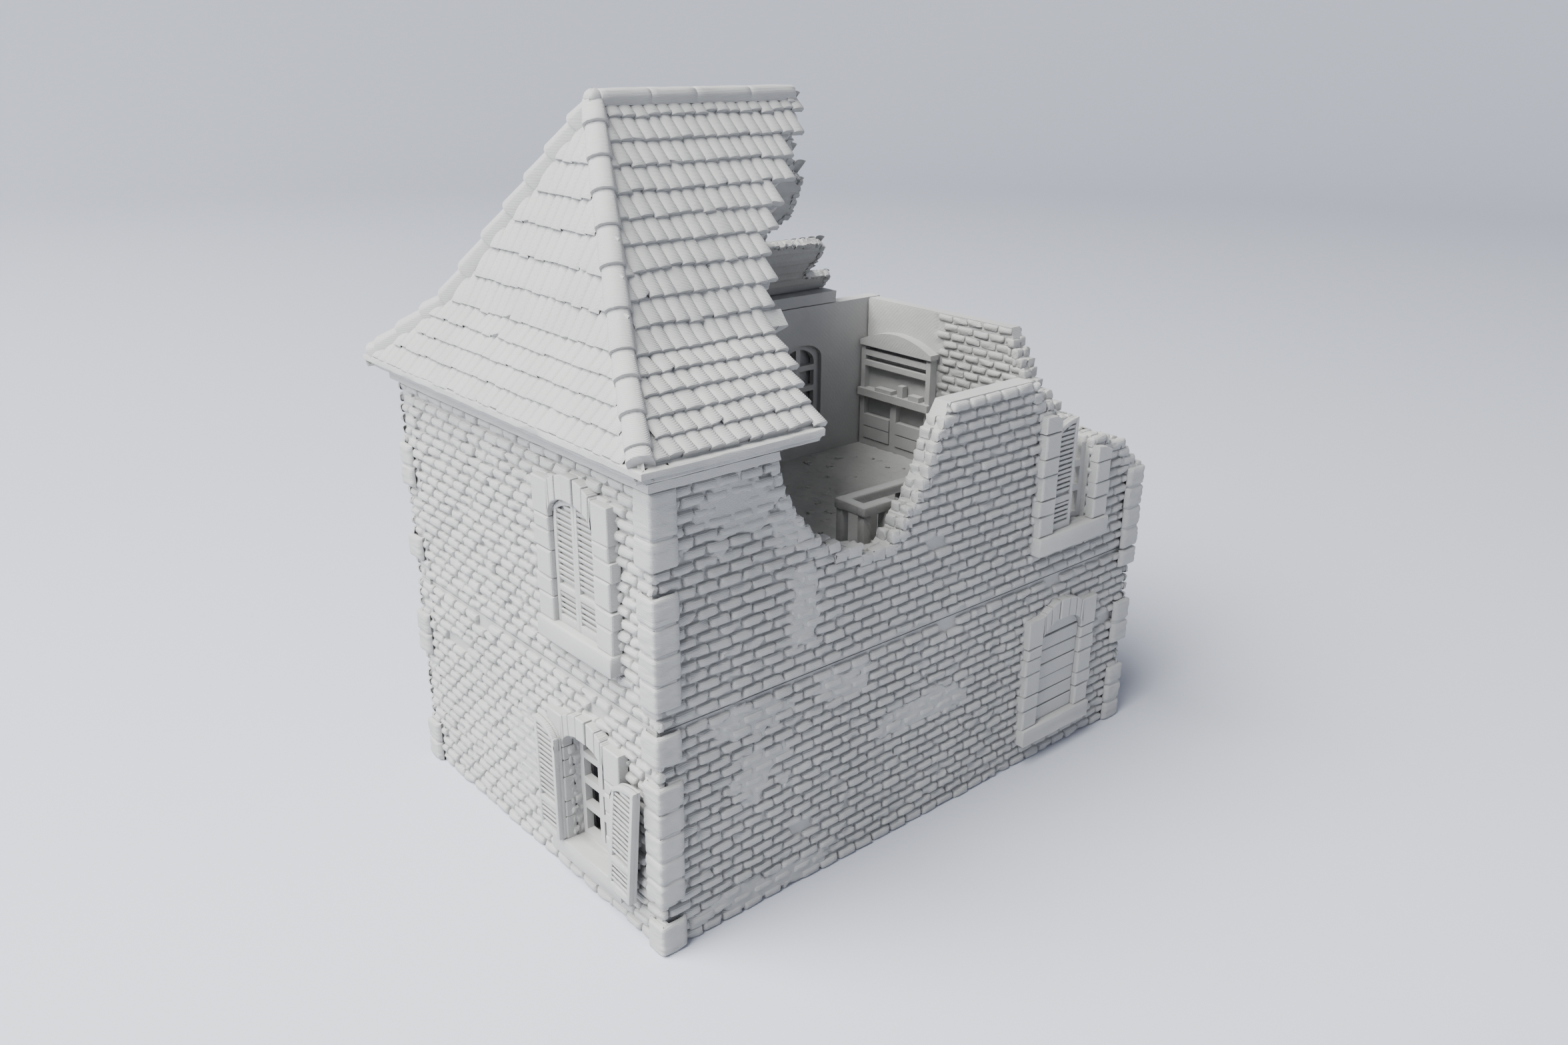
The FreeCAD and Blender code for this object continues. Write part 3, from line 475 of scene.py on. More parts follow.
def brick_cells(outline, holes, z0, z1, seed, ragged=(), course=COURSE):
    """Running bond over a wall, each course cut where it meets the outline and the holes; ragged is not used."""
    pick = np.random.default_rng(seed)
    count = int(round((z1 - z0) / course))
    pitch = (z1 - z0) / count
    cells = []
    for i in range(count):
        low = z0 + i * pitch
        start = -BRICK + (BRICK / 2 if i % 2 else 0) + pick.uniform(-0.3, 0.3)
        edges = [start]
        while edges[-1] < LENGTH + BRICK:
            edges.append(start + BRICK * len(edges) + pick.uniform(-0.22, 0.22))
        for a, b in spans(outline, low + pitch / 2, holes):
            for left, right in zip(edges, edges[1:]):
                s0, s1 = max(left, a), min(right, b)
                if s1 - s0 < 1.0 or pick.random() < 0.010:
                    continue
                joint = 0.02 if pick.random() < 0.06 else 0.30
                foot = 0.37 + pick.uniform(-0.07, 0.07)
                cells.append((s0 + (0.28 if s0 == left else -0.05), s1 - (joint if s1 == right else -0.05),
                              low + (foot if low > 0 else 0.02), low + pitch - 0.37 + pick.uniform(-0.07, 0.07)))
    return cells


def broken_rows(outline, holes, z0, z1):
    """Lengths of each course that have no course above them, as (a, b, low, high)."""
    count = int(round((z1 - z0) / COURSE))
    pitch = (z1 - z0) / count
    rows = []
    for i in range(count):
        low = z0 + i * pitch
        here = spans(outline, low + pitch / 2, holes)
        above = spans(outline, low + pitch * 1.5, holes) if i < count - 1 else here
        for a, b in subtract(here, above):
            rows.append((a, b, low, low + pitch))
    return rows


def broken_edge(piece, place, outline, holes, z0, z1, seed, spread=2.2):
    """Bricks seen through the thickness of the wall along its broken edge."""
    pick = np.random.default_rng(seed)
    boxes = []
    for a, b, low, high in broken_rows(outline, holes, z0, z1):
        if b - a < 0.4:
            continue
        cuts = list(np.arange(a - spread, b + spread, 4.6) + pick.uniform(-0.8, 0.8))
        here = [p for p in spans(outline, (low + high) / 2, holes) if p[1] > a and p[0] < b]
        if not here:
            continue
        floor, ceiling = here[0]
        for left, right in zip(cuts, cuts[1:] + [b + spread]):
            left, right = max(left, floor - pick.uniform(0, 0.5)), min(right, ceiling + pick.uniform(0, 0.5))
            if right - left < 1.2:
                continue
            middle = pick.uniform(4.0, 5.2)
            rise = pick.uniform(-0.5, 0.25)
            boxes.append((left, right - 0.25, FACE + 0.25, middle - 0.15, low - 0.3, high - 0.25 + rise))
            rise = pick.uniform(-0.7, 0.2)
            boxes.append((left + pick.uniform(-0.3, 0.3), right - 0.25, middle + 0.15, WALL - 0.05, low - 0.3, high - 0.25 + rise))
    blocks(piece, place, boxes, radius=0.5, rough=0.14)


def plaster(piece, place, outline, holes, patch, seed, level=0.42, step=0.5):
    """Worn patch where the joints are filled almost flush with the bricks."""
    s0, s1, z0, z1 = patch
    s, z = np.meshgrid(np.arange(s0 - 3, s1 + 3, step), np.arange(max(z0 - 3, 0.1), z1 + 3, step))
    u, v = (s - (s0 + s1) / 2) / ((s1 - s0) / 2), (z - (z0 + z1) / 2) / ((z1 - z0) / 2)
    cover = 1 - (np.abs(u) ** 3 + np.abs(v) ** 3) ** (1 / 3)
    cover = cover + 0.42 * lump(s / 5, z / 3.4, seed) + 0.24 * lump(s / 1.7, z / 1.4, seed + 1)
    for i, height in enumerate(z[:, 0]):
        solid = np.zeros(s.shape[1], bool)
        for a, b in spans(outline, height, holes):
            solid |= (s[i] > a + 0.4) & (s[i] < b - 0.4)
        cover[i, ~solid] = -1
    share = np.clip(cover * 5, 0, 1)
    share = share * share * (3 - 2 * share)
    depth = (BED + 0.2) + (FACE + level - BED - 0.2) * share + 0.07 * lump(s * 1.1, z * 1.1, seed + 2) * share
    keep = (share[:-1, :-1] > 0) | (share[1:, 1:] > 0) | (share[1:, :-1] > 0) | (share[:-1, 1:] > 0)
    piece.sheets(place(s, depth, z)[None], keep[None])


# ---- the walls --------------------------------------------------------------------------
FRONT_TOP = [
    (LENGTH - FACE, UPPER_FOOT), (LENGTH - FACE, 86.5), (175, 92.5), (172, 96.5), (163, 98.5),
    (FRONT_BAY + HALF, 98.5), (FRONT_BAY + HALF, UPPER_SILL), (FRONT_BAY - HALF, UPPER_SILL),
    (FRONT_BAY - HALF, 110.5), (137, 112.5), (132, 116), (130, 119), (128, UPPER_HEAD), (95, UPPER_HEAD),
    (92.5, 118), (90, 114), (88.5, 109), (87, 105), (84.5, 101), (83, 97), (79.5, 95), (78, 91), (74, 88),
    (70, 86.5), (66, 88.5), (62, 91), (55, 92.5), (50.5, 95), (46.5, 99), (42.5, 104), (39, 110),
    (36.5, 118), (36, UPPER_HEAD), (FACE, UPPER_HEAD), (FACE, UPPER_FOOT),
]
RIGHT_TOP = [
    (FACE, UPPER_FOOT), (WIDTH - FACE, UPPER_FOOT), (WIDTH - FACE, UPPER_HEAD), (50, UPPER_HEAD),
    (48.5, 116), (45, 112), (43, 107), (40, 104), (36, 101), (31, 97), (25, 94), (16, 90.5), (FACE, 87),
]


def clipped(outline, a0, a1):
    """The outline with its two end lengths moved to a0 and a1."""
    low = min(a for a, _ in outline)
    high = max(a for a, _ in outline)
    out = []
    for a, z in outline:
        out.append((a0 if abs(a - low) < 0.01 else a1 if abs(a - high) < 0.01 else a, z))
    return out


PATCHES = {
    "ground_front": [(15, 45, 49, 58), (21, 40, 32, 46), (51, 68, 48, 58), (72, 108, 30, 40), (8, 60, 1, 8)],
    "upper_front": [(11, 36, 101, 118), (36, 50, 95, 110), (41, 50, 68, 92)],
    "ground_left": [(52, 67, 12, 44)],
    "upper_left": [],
    "ground_back": [(20, 60, 3, 9), (150, 172, 30, 44)],
    "upper_back": [(60, 84, 84, 98), (110, 138, 100, 114)],
    "ground_right": [(30, 52, 30, 44), (70, 96, 8, 18)],
    "upper_right": [(64, 86, 74, 88)],
}


def build_wall(name, side, outline, holes, z0, z1, seed, broken=False):
    """Core, bricks, worn patches and broken edge of one wall panel."""
    place = wall(side)
    body = "ground_storey" if name.startswith("ground") else "upper_storey"
    node = name.split("_")[0] + "_wall_" + name.split("_")[1]
    ends = (FACE + 0.8, LENGTH - FACE - 0.8) if side in ("front", "back") else (WALL, WIDTH - WALL)
    core = Piece()
    core_line = clipped(outline, *ends)
    if broken:
        core_line = [(a, z) for a, z in lowered(core_line, z0)]
    inner = WALL - 0.9 if name == "upper_right" else WALL
    slab(core, place, core_line, [h.loop() for h in holes], BED, inner)
    core.make(node + "_core", body, (node,), smooth=0)
    face = Piece()
    cells = brick_cells(outline, holes, z0 + (0.5 if z0 > 1 else 0.0), z1 - (0.25 if z0 > 1 else 0.45), seed)
    brick_faces(face, place, cells, FACE, BED + 0.12, chips=0.42)
    for i, patch in enumerate(PATCHES[name]):
        plaster(face, place, outline, holes, patch, seed * 7 + i * 3)
    face.make(node + "_bricks", body)
    if broken:
        edge = Piece()
        broken_edge(edge, place, outline, holes, z0 + 0.5, z1 - 0.25, seed + 50)
        edge.make(node + "_broken_edge", body)


def lowered(outline, foot, drop=1.3):
    """Broken lengths lowered below the bricks that crown them, and cut into uneven steps."""
    out = []
    n = len(outline)
    for i, (a, z) in enumerate(outline):
        b, zb = outline[(i + 1) % n]
        out.append((a, z if z <= foot + 0.01 else z - (drop if z < UPPER_HEAD - 0.01 else 0.3)))
        steps = int(math.hypot(b - a, zb - z) // 2.5)
        sloping = abs(b - a) > 0.5 and min(z, zb) > foot + 5 and abs(zb - z) > 0.3
        if sloping:
            for k in range(1, steps):
                share = k / steps
                out.append((a + (b - a) * share + rng.uniform(-0.4, 0.4), z + (zb - z) * share - drop + rng.uniform(-0.4, 0.3)))
    return out


FRONT_WINDOW = Hole(FRONT_BAY, HALF, GROUND_SILL, GROUND_SILL + TALL)
LEFT_WINDOW = Hole(LEFT_BAY, HALF, GROUND_SILL, GROUND_SILL + TALL)
BACK_WINDOW = Hole(BACK_BAY, HALF, GROUND_SILL, GROUND_SILL + TALL)
DOORWAY = Hole(DOOR_BAY, DOOR_HALF, DOOR_FOOT, DOOR_CROWN)
LEFT_UPPER = Hole(LEFT_BAY, HALF, UPPER_SILL, UPPER_SILL + TALL)
BACK_UPPER = Hole(BACK_BAY, HALF, UPPER_SILL, UPPER_SILL + TALL)


def build_walls():
    for side, holes, seed in (("front", [FRONT_WINDOW], 1), ("left", [LEFT_WINDOW], 2),
                              ("back", [BACK_WINDOW, DOORWAY], 3), ("right", [], 4)):
        long = LENGTH if side in ("front", "back") else WIDTH
        build_wall("ground_" + side, side, rectangle(FACE, long - FACE, 0, GROUND_HEAD), holes, 0, GROUND_HEAD, seed)
    full_left = rectangle(FACE, WIDTH - FACE, UPPER_FOOT, UPPER_HEAD)
    full_back = rectangle(FACE, LENGTH - FACE, UPPER_FOOT, UPPER_HEAD)
    build_wall("upper_left", "left", full_left, [LEFT_UPPER], UPPER_FOOT, UPPER_HEAD, 12)
    build_wall("upper_back", "back", full_back, [BACK_UPPER], UPPER_FOOT, UPPER_HEAD, 13)
    build_wall("upper_front", "front", FRONT_TOP, [], UPPER_FOOT, UPPER_HEAD, 11, broken=True)
    build_wall("upper_right", "right", RIGHT_TOP, [], UPPER_FOOT, UPPER_HEAD, 14, broken=True)


def build_inner_right():
    """Inside of the right wall: plaster behind the dresser, bare brick towards the front."""
    flip_side = wall("right")
    piece = Piece()
    step = 0.9
    s, z = np.meshgrid(np.arange(76, WIDTH - WALL + 0.1, step), np.arange(FLOOR_TOP - 0.5, UPPER_HEAD, step))
    edge = 79.5 + 1.6 * lump(z / 4, z * 0 + 3, 31) + 0.8 * lump(z / 1.3, z * 0 + 1, 32)
    share = np.clip((s - edge) / 0.9, 0, 1)
    depth = WALL - 0.95 + 0.9 * share + 0.05 * lump(s / 2, z / 2, 33)
    piece.sheets(flip_side(s, depth, z)[None], flip=True)
    cells = [c for c in brick_cells(RIGHT_TOP, [], FLOOR_TOP, UPPER_HEAD - 0.2, 77) if c[0] > 8 and c[1] < 84]
    inside = lambda a, b, c: flip_side(a, -b, c)
    brick_faces(piece, inside, cells, -(WALL - 0.05), -(WALL - 0.62), chips=0.5, relief=0.9, flip=True)
    piece.make("upper_wall_right_inside", "upper_storey")


# ---- corner stones ------------------------------------------------------------------
GROUND_QUOINS = {
    "front": [(0, 8.5), (14, 20.3), (20.6, 26.8), (27.1, 33.3), (33.6, 39.8), (40.1, 46.5), (52, GROUND_HEAD)],
    "right": [(0, 6.2), (6.5, 12.6), (12.9, 19), (27.5, 34.6), (34.9, 42), (54, GROUND_HEAD)],
    "back": [(0, 8.5), (20, 26.6), (26.9, 33.5), (48, 53.7), (54, GROUND_HEAD)],
    "left": [(0, 6.2), (6.5, 12.8), (36, 42.4), (42.7, 49)],
}
UPPER_QUOINS = {
    "front": [(66, 72.8), (73.1, 79.8), (80.1, 86.8), (87.1, 93.8), (100, 107.3), (107.6, 118.3)],
    "right": [(UPPER_FOOT, 66.5), (66.8, 73.2), (73.5, 80), (80.3, 86.4)],
    "back": [(UPPER_FOOT, 66.5), (80, 86.6), (86.9, 93.5), (107, 112.6), (112.9, 118.3)],
    "left": [(66, 73), (88, 94.1), (94.4, 100.5)],
}


def quoin(piece, place, z0, z1, front_leg, side_leg):
    """One corner stone: a worn face wrapped round the corner, edges rounded over."""
    r = 0.85
    a_leg = front_leg + rng.uniform(-0.35, 0.25)
    b_leg = side_leg + rng.uniform(-0.35, 0.25)
    path = [(a_leg, 1.35), (a_leg, r), (a_leg - r, 0)]
    path += [(a_leg * k, 0) for k in (0.75, 0.5, 0.28)]
    path += [(r, 0), (r * 0.3, r * 0.3), (0, r)]
    path += [(0, b_leg * k) for k in (0.28, 0.5, 0.75)]
    path += [(0, b_leg - r), (r, b_leg), (1.35, b_leg)]
    path = np.array(path)
    inward = np.zeros_like(path)
    inward[:7] = (0, 1)
    inward[7] = (0.7, 0.7)
    inward[8:] = (1, 0)
    inward[0] = inward[-1] = (0, 0)
    tall = z1 - z0
    middle = np.linspace(r, tall - r, int((tall - 2 * r) / 0.4) + 2)
    levels = np.concatenate([[0, 0, r * 0.35], middle, [tall - r * 0.35, tall, tall]]) + z0
    strata = rng.uniform(0, 0.13, len(middle))
    sink = np.concatenate([[1.4, r * 0.85, r * 0.3], strata, [r * 0.3, r * 0.85, 1.4]])
    a = path[None, :, 0] + inward[None, :, 0] * sink[:, None]
    b = path[None, :, 1] + inward[None, :, 1] * sink[:, None]
    z = np.repeat(levels[:, None], len(path), axis=1)
    worn = 0.16 * lump((a + b * 1.7) / 2.1 + z0, z / 1.1, 41) + 0.12 * lump(a + b + z0 * 3, z * 1.8, 42)
    worn = worn * (sink < 1)[:, None]
    a = a + inward[None, :, 0] * worn
    b = b + inward[None, :, 1] * worn
    z = z + 0.14 * lump((a - b) / 2.2, z0 + levels[:, None] * 0 + a * 0, 43)
    piece.sheets(place(a, b, z)[None], flip=True)


def shifted(place, inward):
    """The same corner with both faces moved into the wall."""
    return lambda a, b, z: place(a + inward, b + inward, z)


def build_quoins():
    for name, table, body in (("ground_quoins", GROUND_QUOINS, "ground_storey"), ("upper_quoins", UPPER_QUOINS, "upper_storey")):
        piece = Piece()
        for side, levels in table.items():
            legs = (7.8, 7.0) if side in ("front", "back") else (7.0, 7.8)
            for z0, z1 in levels:
                quoin(piece, wall(side), z0 + 0.08, z1 - 0.08, *legs)
            for (_, top), (foot, _) in zip(levels, levels[1:]):
                if foot - top < 0.6:
                    quoin(piece, shifted(wall(side), 0.42), top - 0.9, foot + 0.9, legs[0] - 0.9, legs[1] - 0.9)
        piece.make(name + "_worn", body, (name,))


# ---- windows -------------------------------------------------------------------------
PROUD = FACE - 2.0


def jamb_levels(z0, z1):
    levels = [z0]
    tall = [6.4, 4.6, 7.2, 5.0, 6.6, 4.4, 7.0]
    for size in tall * 2:
        if z1 - levels[-1] < 7.5:
            break
        levels.append(levels[-1] + size)
    return levels + [z1]


def jamb(piece, place, a0, a1, z0, z1, centre):
    levels = jamb_levels(z0, z1)
    for k, (low, high) in enumerate(zip(levels, levels[1:])):
        wide = 0.45 if k % 2 else -0.25
        left, right = (a0 - wide, a1) if a0 < centre else (a0, a1 + wide)
        stone(piece, place, [(left, low + 0.1), (right, low + 0.1), (right, high - 0.1), (left, high - 0.1)], PROUD, FACE + 0.9, bevel=0.55)


def surround(piece, place, centre, foot, crown, half=HALF, wide=JAMB):
    """Jamb stones, square shoulders and a ring of arch stones."""
    spring = crown - ARCH
    shoulder = crown + 3.0
    jamb(piece, place, centre - wide, centre - half, foot, spring - 1.2, centre)
    jamb(piece, place, centre + half, centre + wide, foot, spring - 1.2, centre)
    flat = half + 0.25
    for sign in (-1, 1):
        stone(piece, place, [(centre + sign * half, spring - 1.05), (centre + sign * wide, spring - 1.05),
                             (centre + sign * wide, shoulder), (centre + sign * (half + 0.1), shoulder)], PROUD, FACE + 0.9)
    count = 7
    for k in range(count):
        t0, t1 = math.pi * k / count + 0.02, math.pi * (k + 1) / count - 0.02
        ring = []
        for t in np.linspace(t0, t1, 4):
            ring.append((centre + half * math.cos(t), spring + ARCH * math.sin(t)))
        for t in np.linspace(t1, t0, 4):
            x = flat * math.cos(t)
            ring.append((centre + x, shoulder + 3.2 * (1 - (x / flat) ** 2)))
        stone(piece, place, ring, PROUD - (0.25 if k == count // 2 else 0), FACE + 0.9, bevel=0.3, rough=0.05)


def sill(piece, place, centre, top):
    blocks(piece, place, [(centre - JAMB, centre + JAMB, PROUD - 0.8, 4.1, top - 5.5, top)], radius=0.5, rough=0.1)


def leaf(piece, place, width, height, thick, arched=True, flip=False):
    """Louvred shutter leaf, hinge edge at 0, head half-arched up to the free edge."""
    spring = height - ARCH

    def head(a):
        if not arched:
            return height
        return spring + ARCH * math.sqrt(max(0.0, 1 - (1 - a / width) ** 2))
    edge = [(width * (1 - math.cos(math.pi / 2 * i / 8)), ) for i in range(9)]
    top = [(a[0], head(a[0])) for a in edge]
    panel = [(0, 0), (width, 0)] + top[::-1]
    stone(piece, place, panel, thick * 0.55, thick, bevel=0.1, rough=0)
    for a0, a1 in ((0, 1.35), (width - 1.15, width)):
        blocks(piece, place, [(a0, a1, 0, thick * 0.7, 0, head((a0 + a1) / 2) - 0.3)], radius=0.22, rough=0.04, flip=flip)
    middle = height * 0.28
    rails = [(0.9, width - 0.8, 0.02, thick * 0.7, 0, 2.1), (0.9, width - 0.8, 0.02, thick * 0.7, middle - 0.9, middle + 0.9)]
    blocks(piece, place, rails, radius=0.22, rough=0.04, flip=flip)
    inner = [(a, z - 1.5) for a, z in top[1:]]
    stone(piece, place, [(top[0][0], top[0][1] - 2.0)] + inner + top[::-1], 0, thick * 0.7, bevel=0.2, rough=0)
    slats = []
    z = 2.5
    while z < height - 1.8:
        if abs(z + 0.5 - middle) > 1.5:
            reach = [a for a in np.linspace(1.2, width - 1.0, 12) if head(a) - 1.6 > z + 0.9]
            if len(reach) > 4:
                slats.append((reach[0] - 0.1, reach[-1] + 0.1, 0.25, 0.85, z, z + 1.12))
        z += 1.42
    blocks(piece, place, slats, radius=0.16, rough=0.03, lean=-0.42, flip=flip)


def shift_place(place, s, d, z, angle=0.0, mirror=False):
    """Leaf coordinates to wall coordinates: turned in the wall plane, then moved."""
    c, k = math.cos(math.radians(angle)), math.sin(math.radians(angle))
    sign = -1 if mirror else 1

    def inner(a, b, up):
        a = a * sign
        return place(s + a * c + up * k, d + b, z - a * k + up * c)
    return inner


def closed_pair(piece, place, centre, sill_z):
    width = HALF - 0.15
    leaf(piece, shift_place(place, centre - HALF + 0.1, 0.6, sill_z + 0.1), width, TALL - 0.3, 2.0)
    leaf(piece, shift_place(place, centre + HALF - 0.1, 0.6, sill_z + 0.1, mirror=True), width, TALL - 0.3, 2.0, flip=True)


def build_windows():
    left, front, back = wall("left"), wall("front"), wall("back")
    ground = Piece()
    for place, centre in ((left, LEFT_BAY), (front, FRONT_BAY), (back, BACK_BAY)):
        surround(ground, place, centre, GROUND_SILL, GROUND_SILL + TALL)
    ground.make("ground_surrounds_worn", "ground_storey", ("ground_window_surrounds",), smooth=0)
    door = Piece()
    surround(door, back, DOOR_BAY, DOOR_FOOT, DOOR_CROWN, half=DOOR_HALF, wide=DOOR_HALF + 6.5)
    door.make("doorway_surround_worn", "ground_storey", ("doorway_surround",), smooth=0)
    for name, body, bays, top in (
            ("ground_window_sills", "ground_storey", ((left, LEFT_BAY), (front, FRONT_BAY), (back, BACK_BAY)), GROUND_SILL),
            ("upper_window_sills", "upper_storey", ((left, LEFT_BAY), (front, FRONT_BAY), (back, BACK_BAY)), UPPER_SILL)):
        piece = Piece()
        for place, centre in bays:
            sill(piece, place, centre, top)
        piece.make(name + "_worn", body, (name,))
    for name, place, centre in (("upper_left_surround", left, LEFT_BAY), ("upper_back_surround", back, BACK_BAY)):
        piece = Piece()
        surround(piece, place, centre, UPPER_SILL, UPPER_SILL + TALL)
        piece.make(name + "_worn", "upper_storey", (name,), smooth=0)
    piece = Piece()
    jamb(piece, front, FRONT_BAY - JAMB, FRONT_BAY - HALF, UPPER_SILL, 105.5, FRONT_BAY)
    stone(piece, front, [(FRONT_BAY - JAMB, 105.6), (FRONT_BAY - HALF, 105.6), (FRONT_BAY - HALF, 109.2), (FRONT_BAY - 12, 110.6),
                         (FRONT_BAY - JAMB, 110.4)], PROUD, FACE + 0.9)
    jamb(piece, front, FRONT_BAY + HALF, FRONT_BAY + JAMB, UPPER_SILL, 92.5, FRONT_BAY)
    stone(piece, front, [(FRONT_BAY + HALF, 92.6), (FRONT_BAY + JAMB, 92.6), (FRONT_BAY + JAMB, 95.6), (FRONT_BAY + 13, 96.9),
                         (FRONT_BAY + HALF, 97.4)], PROUD, FACE + 0.9)
    piece.make("upper_front_surround_worn", "upper_storey", ("upper_front_surround",), smooth=0)
    for name, body, place, centre, sill_z in (
            ("ground_back_shutters", "ground_storey", back, BACK_BAY, GROUND_SILL),
            ("upper_left_shutters", "upper_storey", left, LEFT_BAY, UPPER_SILL),
            ("upper_back_shutters", "upper_storey", back, BACK_BAY, UPPER_SILL)):
        piece = Piece()
        closed_pair(piece, place, centre, sill_z)
        piece.make(name + "_louvred", body, (name,), smooth=40)
    piece = Piece()
    leaf(piece, shift_place(front, FRONT_BAY - HALF + 0.1, 0.6, UPPER_SILL + 0.1), HALF - 0.15, TALL - 0.3, 2.0)
    piece.make("upper_front_shutter_louvred", "upper_storey", ("upper_front_shutter",), smooth=40)
    piece = Piece()
    leaf(piece, shift_place(left, LEFT_BAY - HALF - 0.2, PROUD - 2.2, GROUND_SILL + 0.3, mirror=True), 9.2, TALL, 2.2, flip=True)
    piece.make("ground_shutter_folded_louvred", "ground_storey", ("ground_shutter_folded",), smooth=40)
    piece = Piece()
    leaf(piece, shift_place(left, LEFT_BAY + HALF + 3.4, PROUD - 2.2, GROUND_SILL - 0.6, angle=6.0), 9.2, TALL, 2.2)
    piece.make("ground_shutter_askew_louvred", "ground_storey", ("ground_shutter_askew",), smooth=40)


def build_reveal():
    """Bricks in the side of the open window that faces out past the folded shutter."""
    left = wall("left")
    piece = Piece()
    cells = []
    for i in range(9):
        low = GROUND_SILL + 0.3 + i * COURSE
        cut = 2.0 if i % 2 else 3.3
        cells += [(0.9, cut - 0.12, low, low + COURSE - 0.35), (cut + 0.12, 4.6, low, low + COURSE - 0.35)]
    brick_faces(piece, lambda a, b, c: left(LEFT_BAY - HALF - b, a, c), cells, -0.42, 0.05, chips=0.4, relief=0.7)
    piece.make("ground_wall_left_reveal", "ground_storey")


def build_boards():
    """Planks across the front window, each split and worn differently."""
    piece = Piece()
    place = wall("front")
    count = 7
    pitch = TALL / count
    for i in range(count):
        low = GROUND_SILL + 0.1 + i * pitch
        rows = []
        for z in np.linspace(low + 0.1, low + pitch - 0.3, 5):
            half = arch_half(HALF - 0.1, GROUND_SILL, GROUND_SILL + TALL, z) or 1.0
            rows.append((z, half))
        ring = [(FRONT_BAY + h, z) for z, h in rows] + [(FRONT_BAY - h, z) for z, h in rows[::-1]]
        stone(piece, place, ring, 0.8 + rng.uniform(-0.15, 0.2), 2.4, bevel=0.22, rough=0.05)
    piece.make("ground_window_planks", "ground_storey", ("ground_window_boards",), smooth=0)


# ---- mouldings ------------------------------------------------------------------------
def sweep_round(piece, profile, front_end, back_end, step=3.0):
    """Moulding along the front, left and back walls; profile is (out, up), front end broken."""
    prof = np.array(profile, float)
    out, up = prof[:, 0], prof[:, 1]
    corners = []
    xs = np.arange(front_end, X_LEFT, -step)
    for i, x in enumerate(xs):
        ragged = rng.uniform(-0.6, 0.6, len(out)) if i == 0 else 0
        corners.append((np.full(len(out), x) + ragged, Y_FRONT - out))
    corners.append((X_LEFT - out, Y_FRONT - out))
    for y in np.arange(Y_FRONT + step, Y_BACK - step / 2, step):
        corners.append((X_LEFT - out, np.full(len(out), y)))
    corners.append((X_LEFT - out, Y_BACK + out))
    for x in np.arange(X_LEFT + step, back_end, step):
        corners.append((np.full(len(out), x), Y_BACK + out))
    corners.append((np.full(len(out), back_end) + rng.uniform(-0.6, 0.6, len(out)), Y_BACK + out))
    grid = np.stack([np.stack([x, y, up], axis=-1) for x, y in corners])
    grid = grid + rng.normal(0, 0.035, grid.shape)
    piece.sheets(grid[None], flip=True)
    n = len(out)
    piece.add(grid[0], [tuple(range(n))])
    piece.add(grid[-1], [tuple(range(n))[::-1]])


def build_mouldings():
    cove = Piece()
    band = [(-1.0, 118.4), (0.0, 118.4), (0.12, 118.6), (0.12, 120.4), (0.4, 120.8), (1.4, 121.05), (-1.0, 121.1)]
    sweep_round(cove, band, X_LEFT + 36.0, X_LEFT + 159.0)
    cove.make("upper_frieze_worn", "upper_storey", ("upper_frieze",), smooth=40)
    top = [(-WALL, 121.4), (1.0, 121.4), (1.7, 121.5), (2.6, 121.75), (3.1, 122.1), (3.45, 122.15), (3.6, 122.3), (3.6, 123.2),
           (3.5, 123.3), (3.5, 123.45), (4.7, 123.45), (4.9, 123.6), (4.9, 124.9), (4.7, 125.15), (4.2, 125.2),
           (-WALL, 125.2), (-WALL, 121.4)]
    piece = Piece()
    sweep_round(piece, top, X_LEFT + 44.5, X_LEFT + 159.5)
    piece.make("cornice_worn", "roof", ("cornice_front", "cornice_left", "cornice_back"), smooth=40)


# ---- roof -------------------------------------------------------------------------------
def rise(t):
    return CORNICE_TOP + 68.8 * np.where(t < 0.37, 0.711 * t, 0.2631 + 1.17 * (t - 0.37))


def slope(kind):
    """Function from (along, share of run, height off the surface) to the model frame."""
    def place(u, t, n):
        u, t, n = np.broadcast_arrays(np.asarray(u, float), np.asarray(t, float), np.asarray(n, float))
        blend = np.clip((t - 0.345) / 0.05, 0, 1)
        steep = 68.8 * (0.711 + (1.17 - 0.711) * blend)
        run = HIP_RUN if kind == "hip" else SIDE_RUN
        size = np.hypot(steep, run)
        off, up = n * steep / size, n * run / size
        z = rise(t) + up
        if kind == "front":
            return np.stack([u, -SIDE_RUN * (1 - t) - off, z], axis=-1)
        if kind == "back":
            return np.stack([u, SIDE_RUN * (1 - t) + off, z], axis=-1)
        return np.stack([X_LEFT - EAVES_OUT + HIP_RUN * t - off, -u, z], axis=-1)
    return place


FRONT_EDGE = [
    (43.2, 0.0), (44.1, 0.06), (45.5, 0.13), (46, 0.2), (47.5, 0.235), (48.9, 0.30), (50.2, 0.366), (50.5, 0.41),
    (53, 0.415), (53.4, 0.46), (56.2, 0.476), (58, 0.54), (58.2, 0.60), (63, 0.612), (63.8, 0.658), (69.8, 0.677),
    (69.6, 0.72), (75, 0.75), (76, 0.778), (80.6, 0.82), (82.2, 0.86), (89, 0.897), (90.6, 0.933), (90.1, 1.0),
]
BACK_EDGE = [
    (159.5, 0.0), (158.5, 0.1), (155.5, 0.18), (143.2, 0.203), (140.6, 0.277), (138.6, 0.411), (134.3, 0.430),
    (121.9, 0.436), (110.0, 0.442), (109.0, 0.50), (111.3, 0.543), (114.4, 0.577), (112.1, 0.66), (111.3, 0.704),
    (106.2, 0.731), (101, 0.80), (97, 0.87), (93, 0.93), (90.1, 1.0),
]
TILE = 3.56


def edge_at(edge, t):
    xs, ts = np.array(edge).T
    return X_LEFT + np.interp(t, ts, xs)


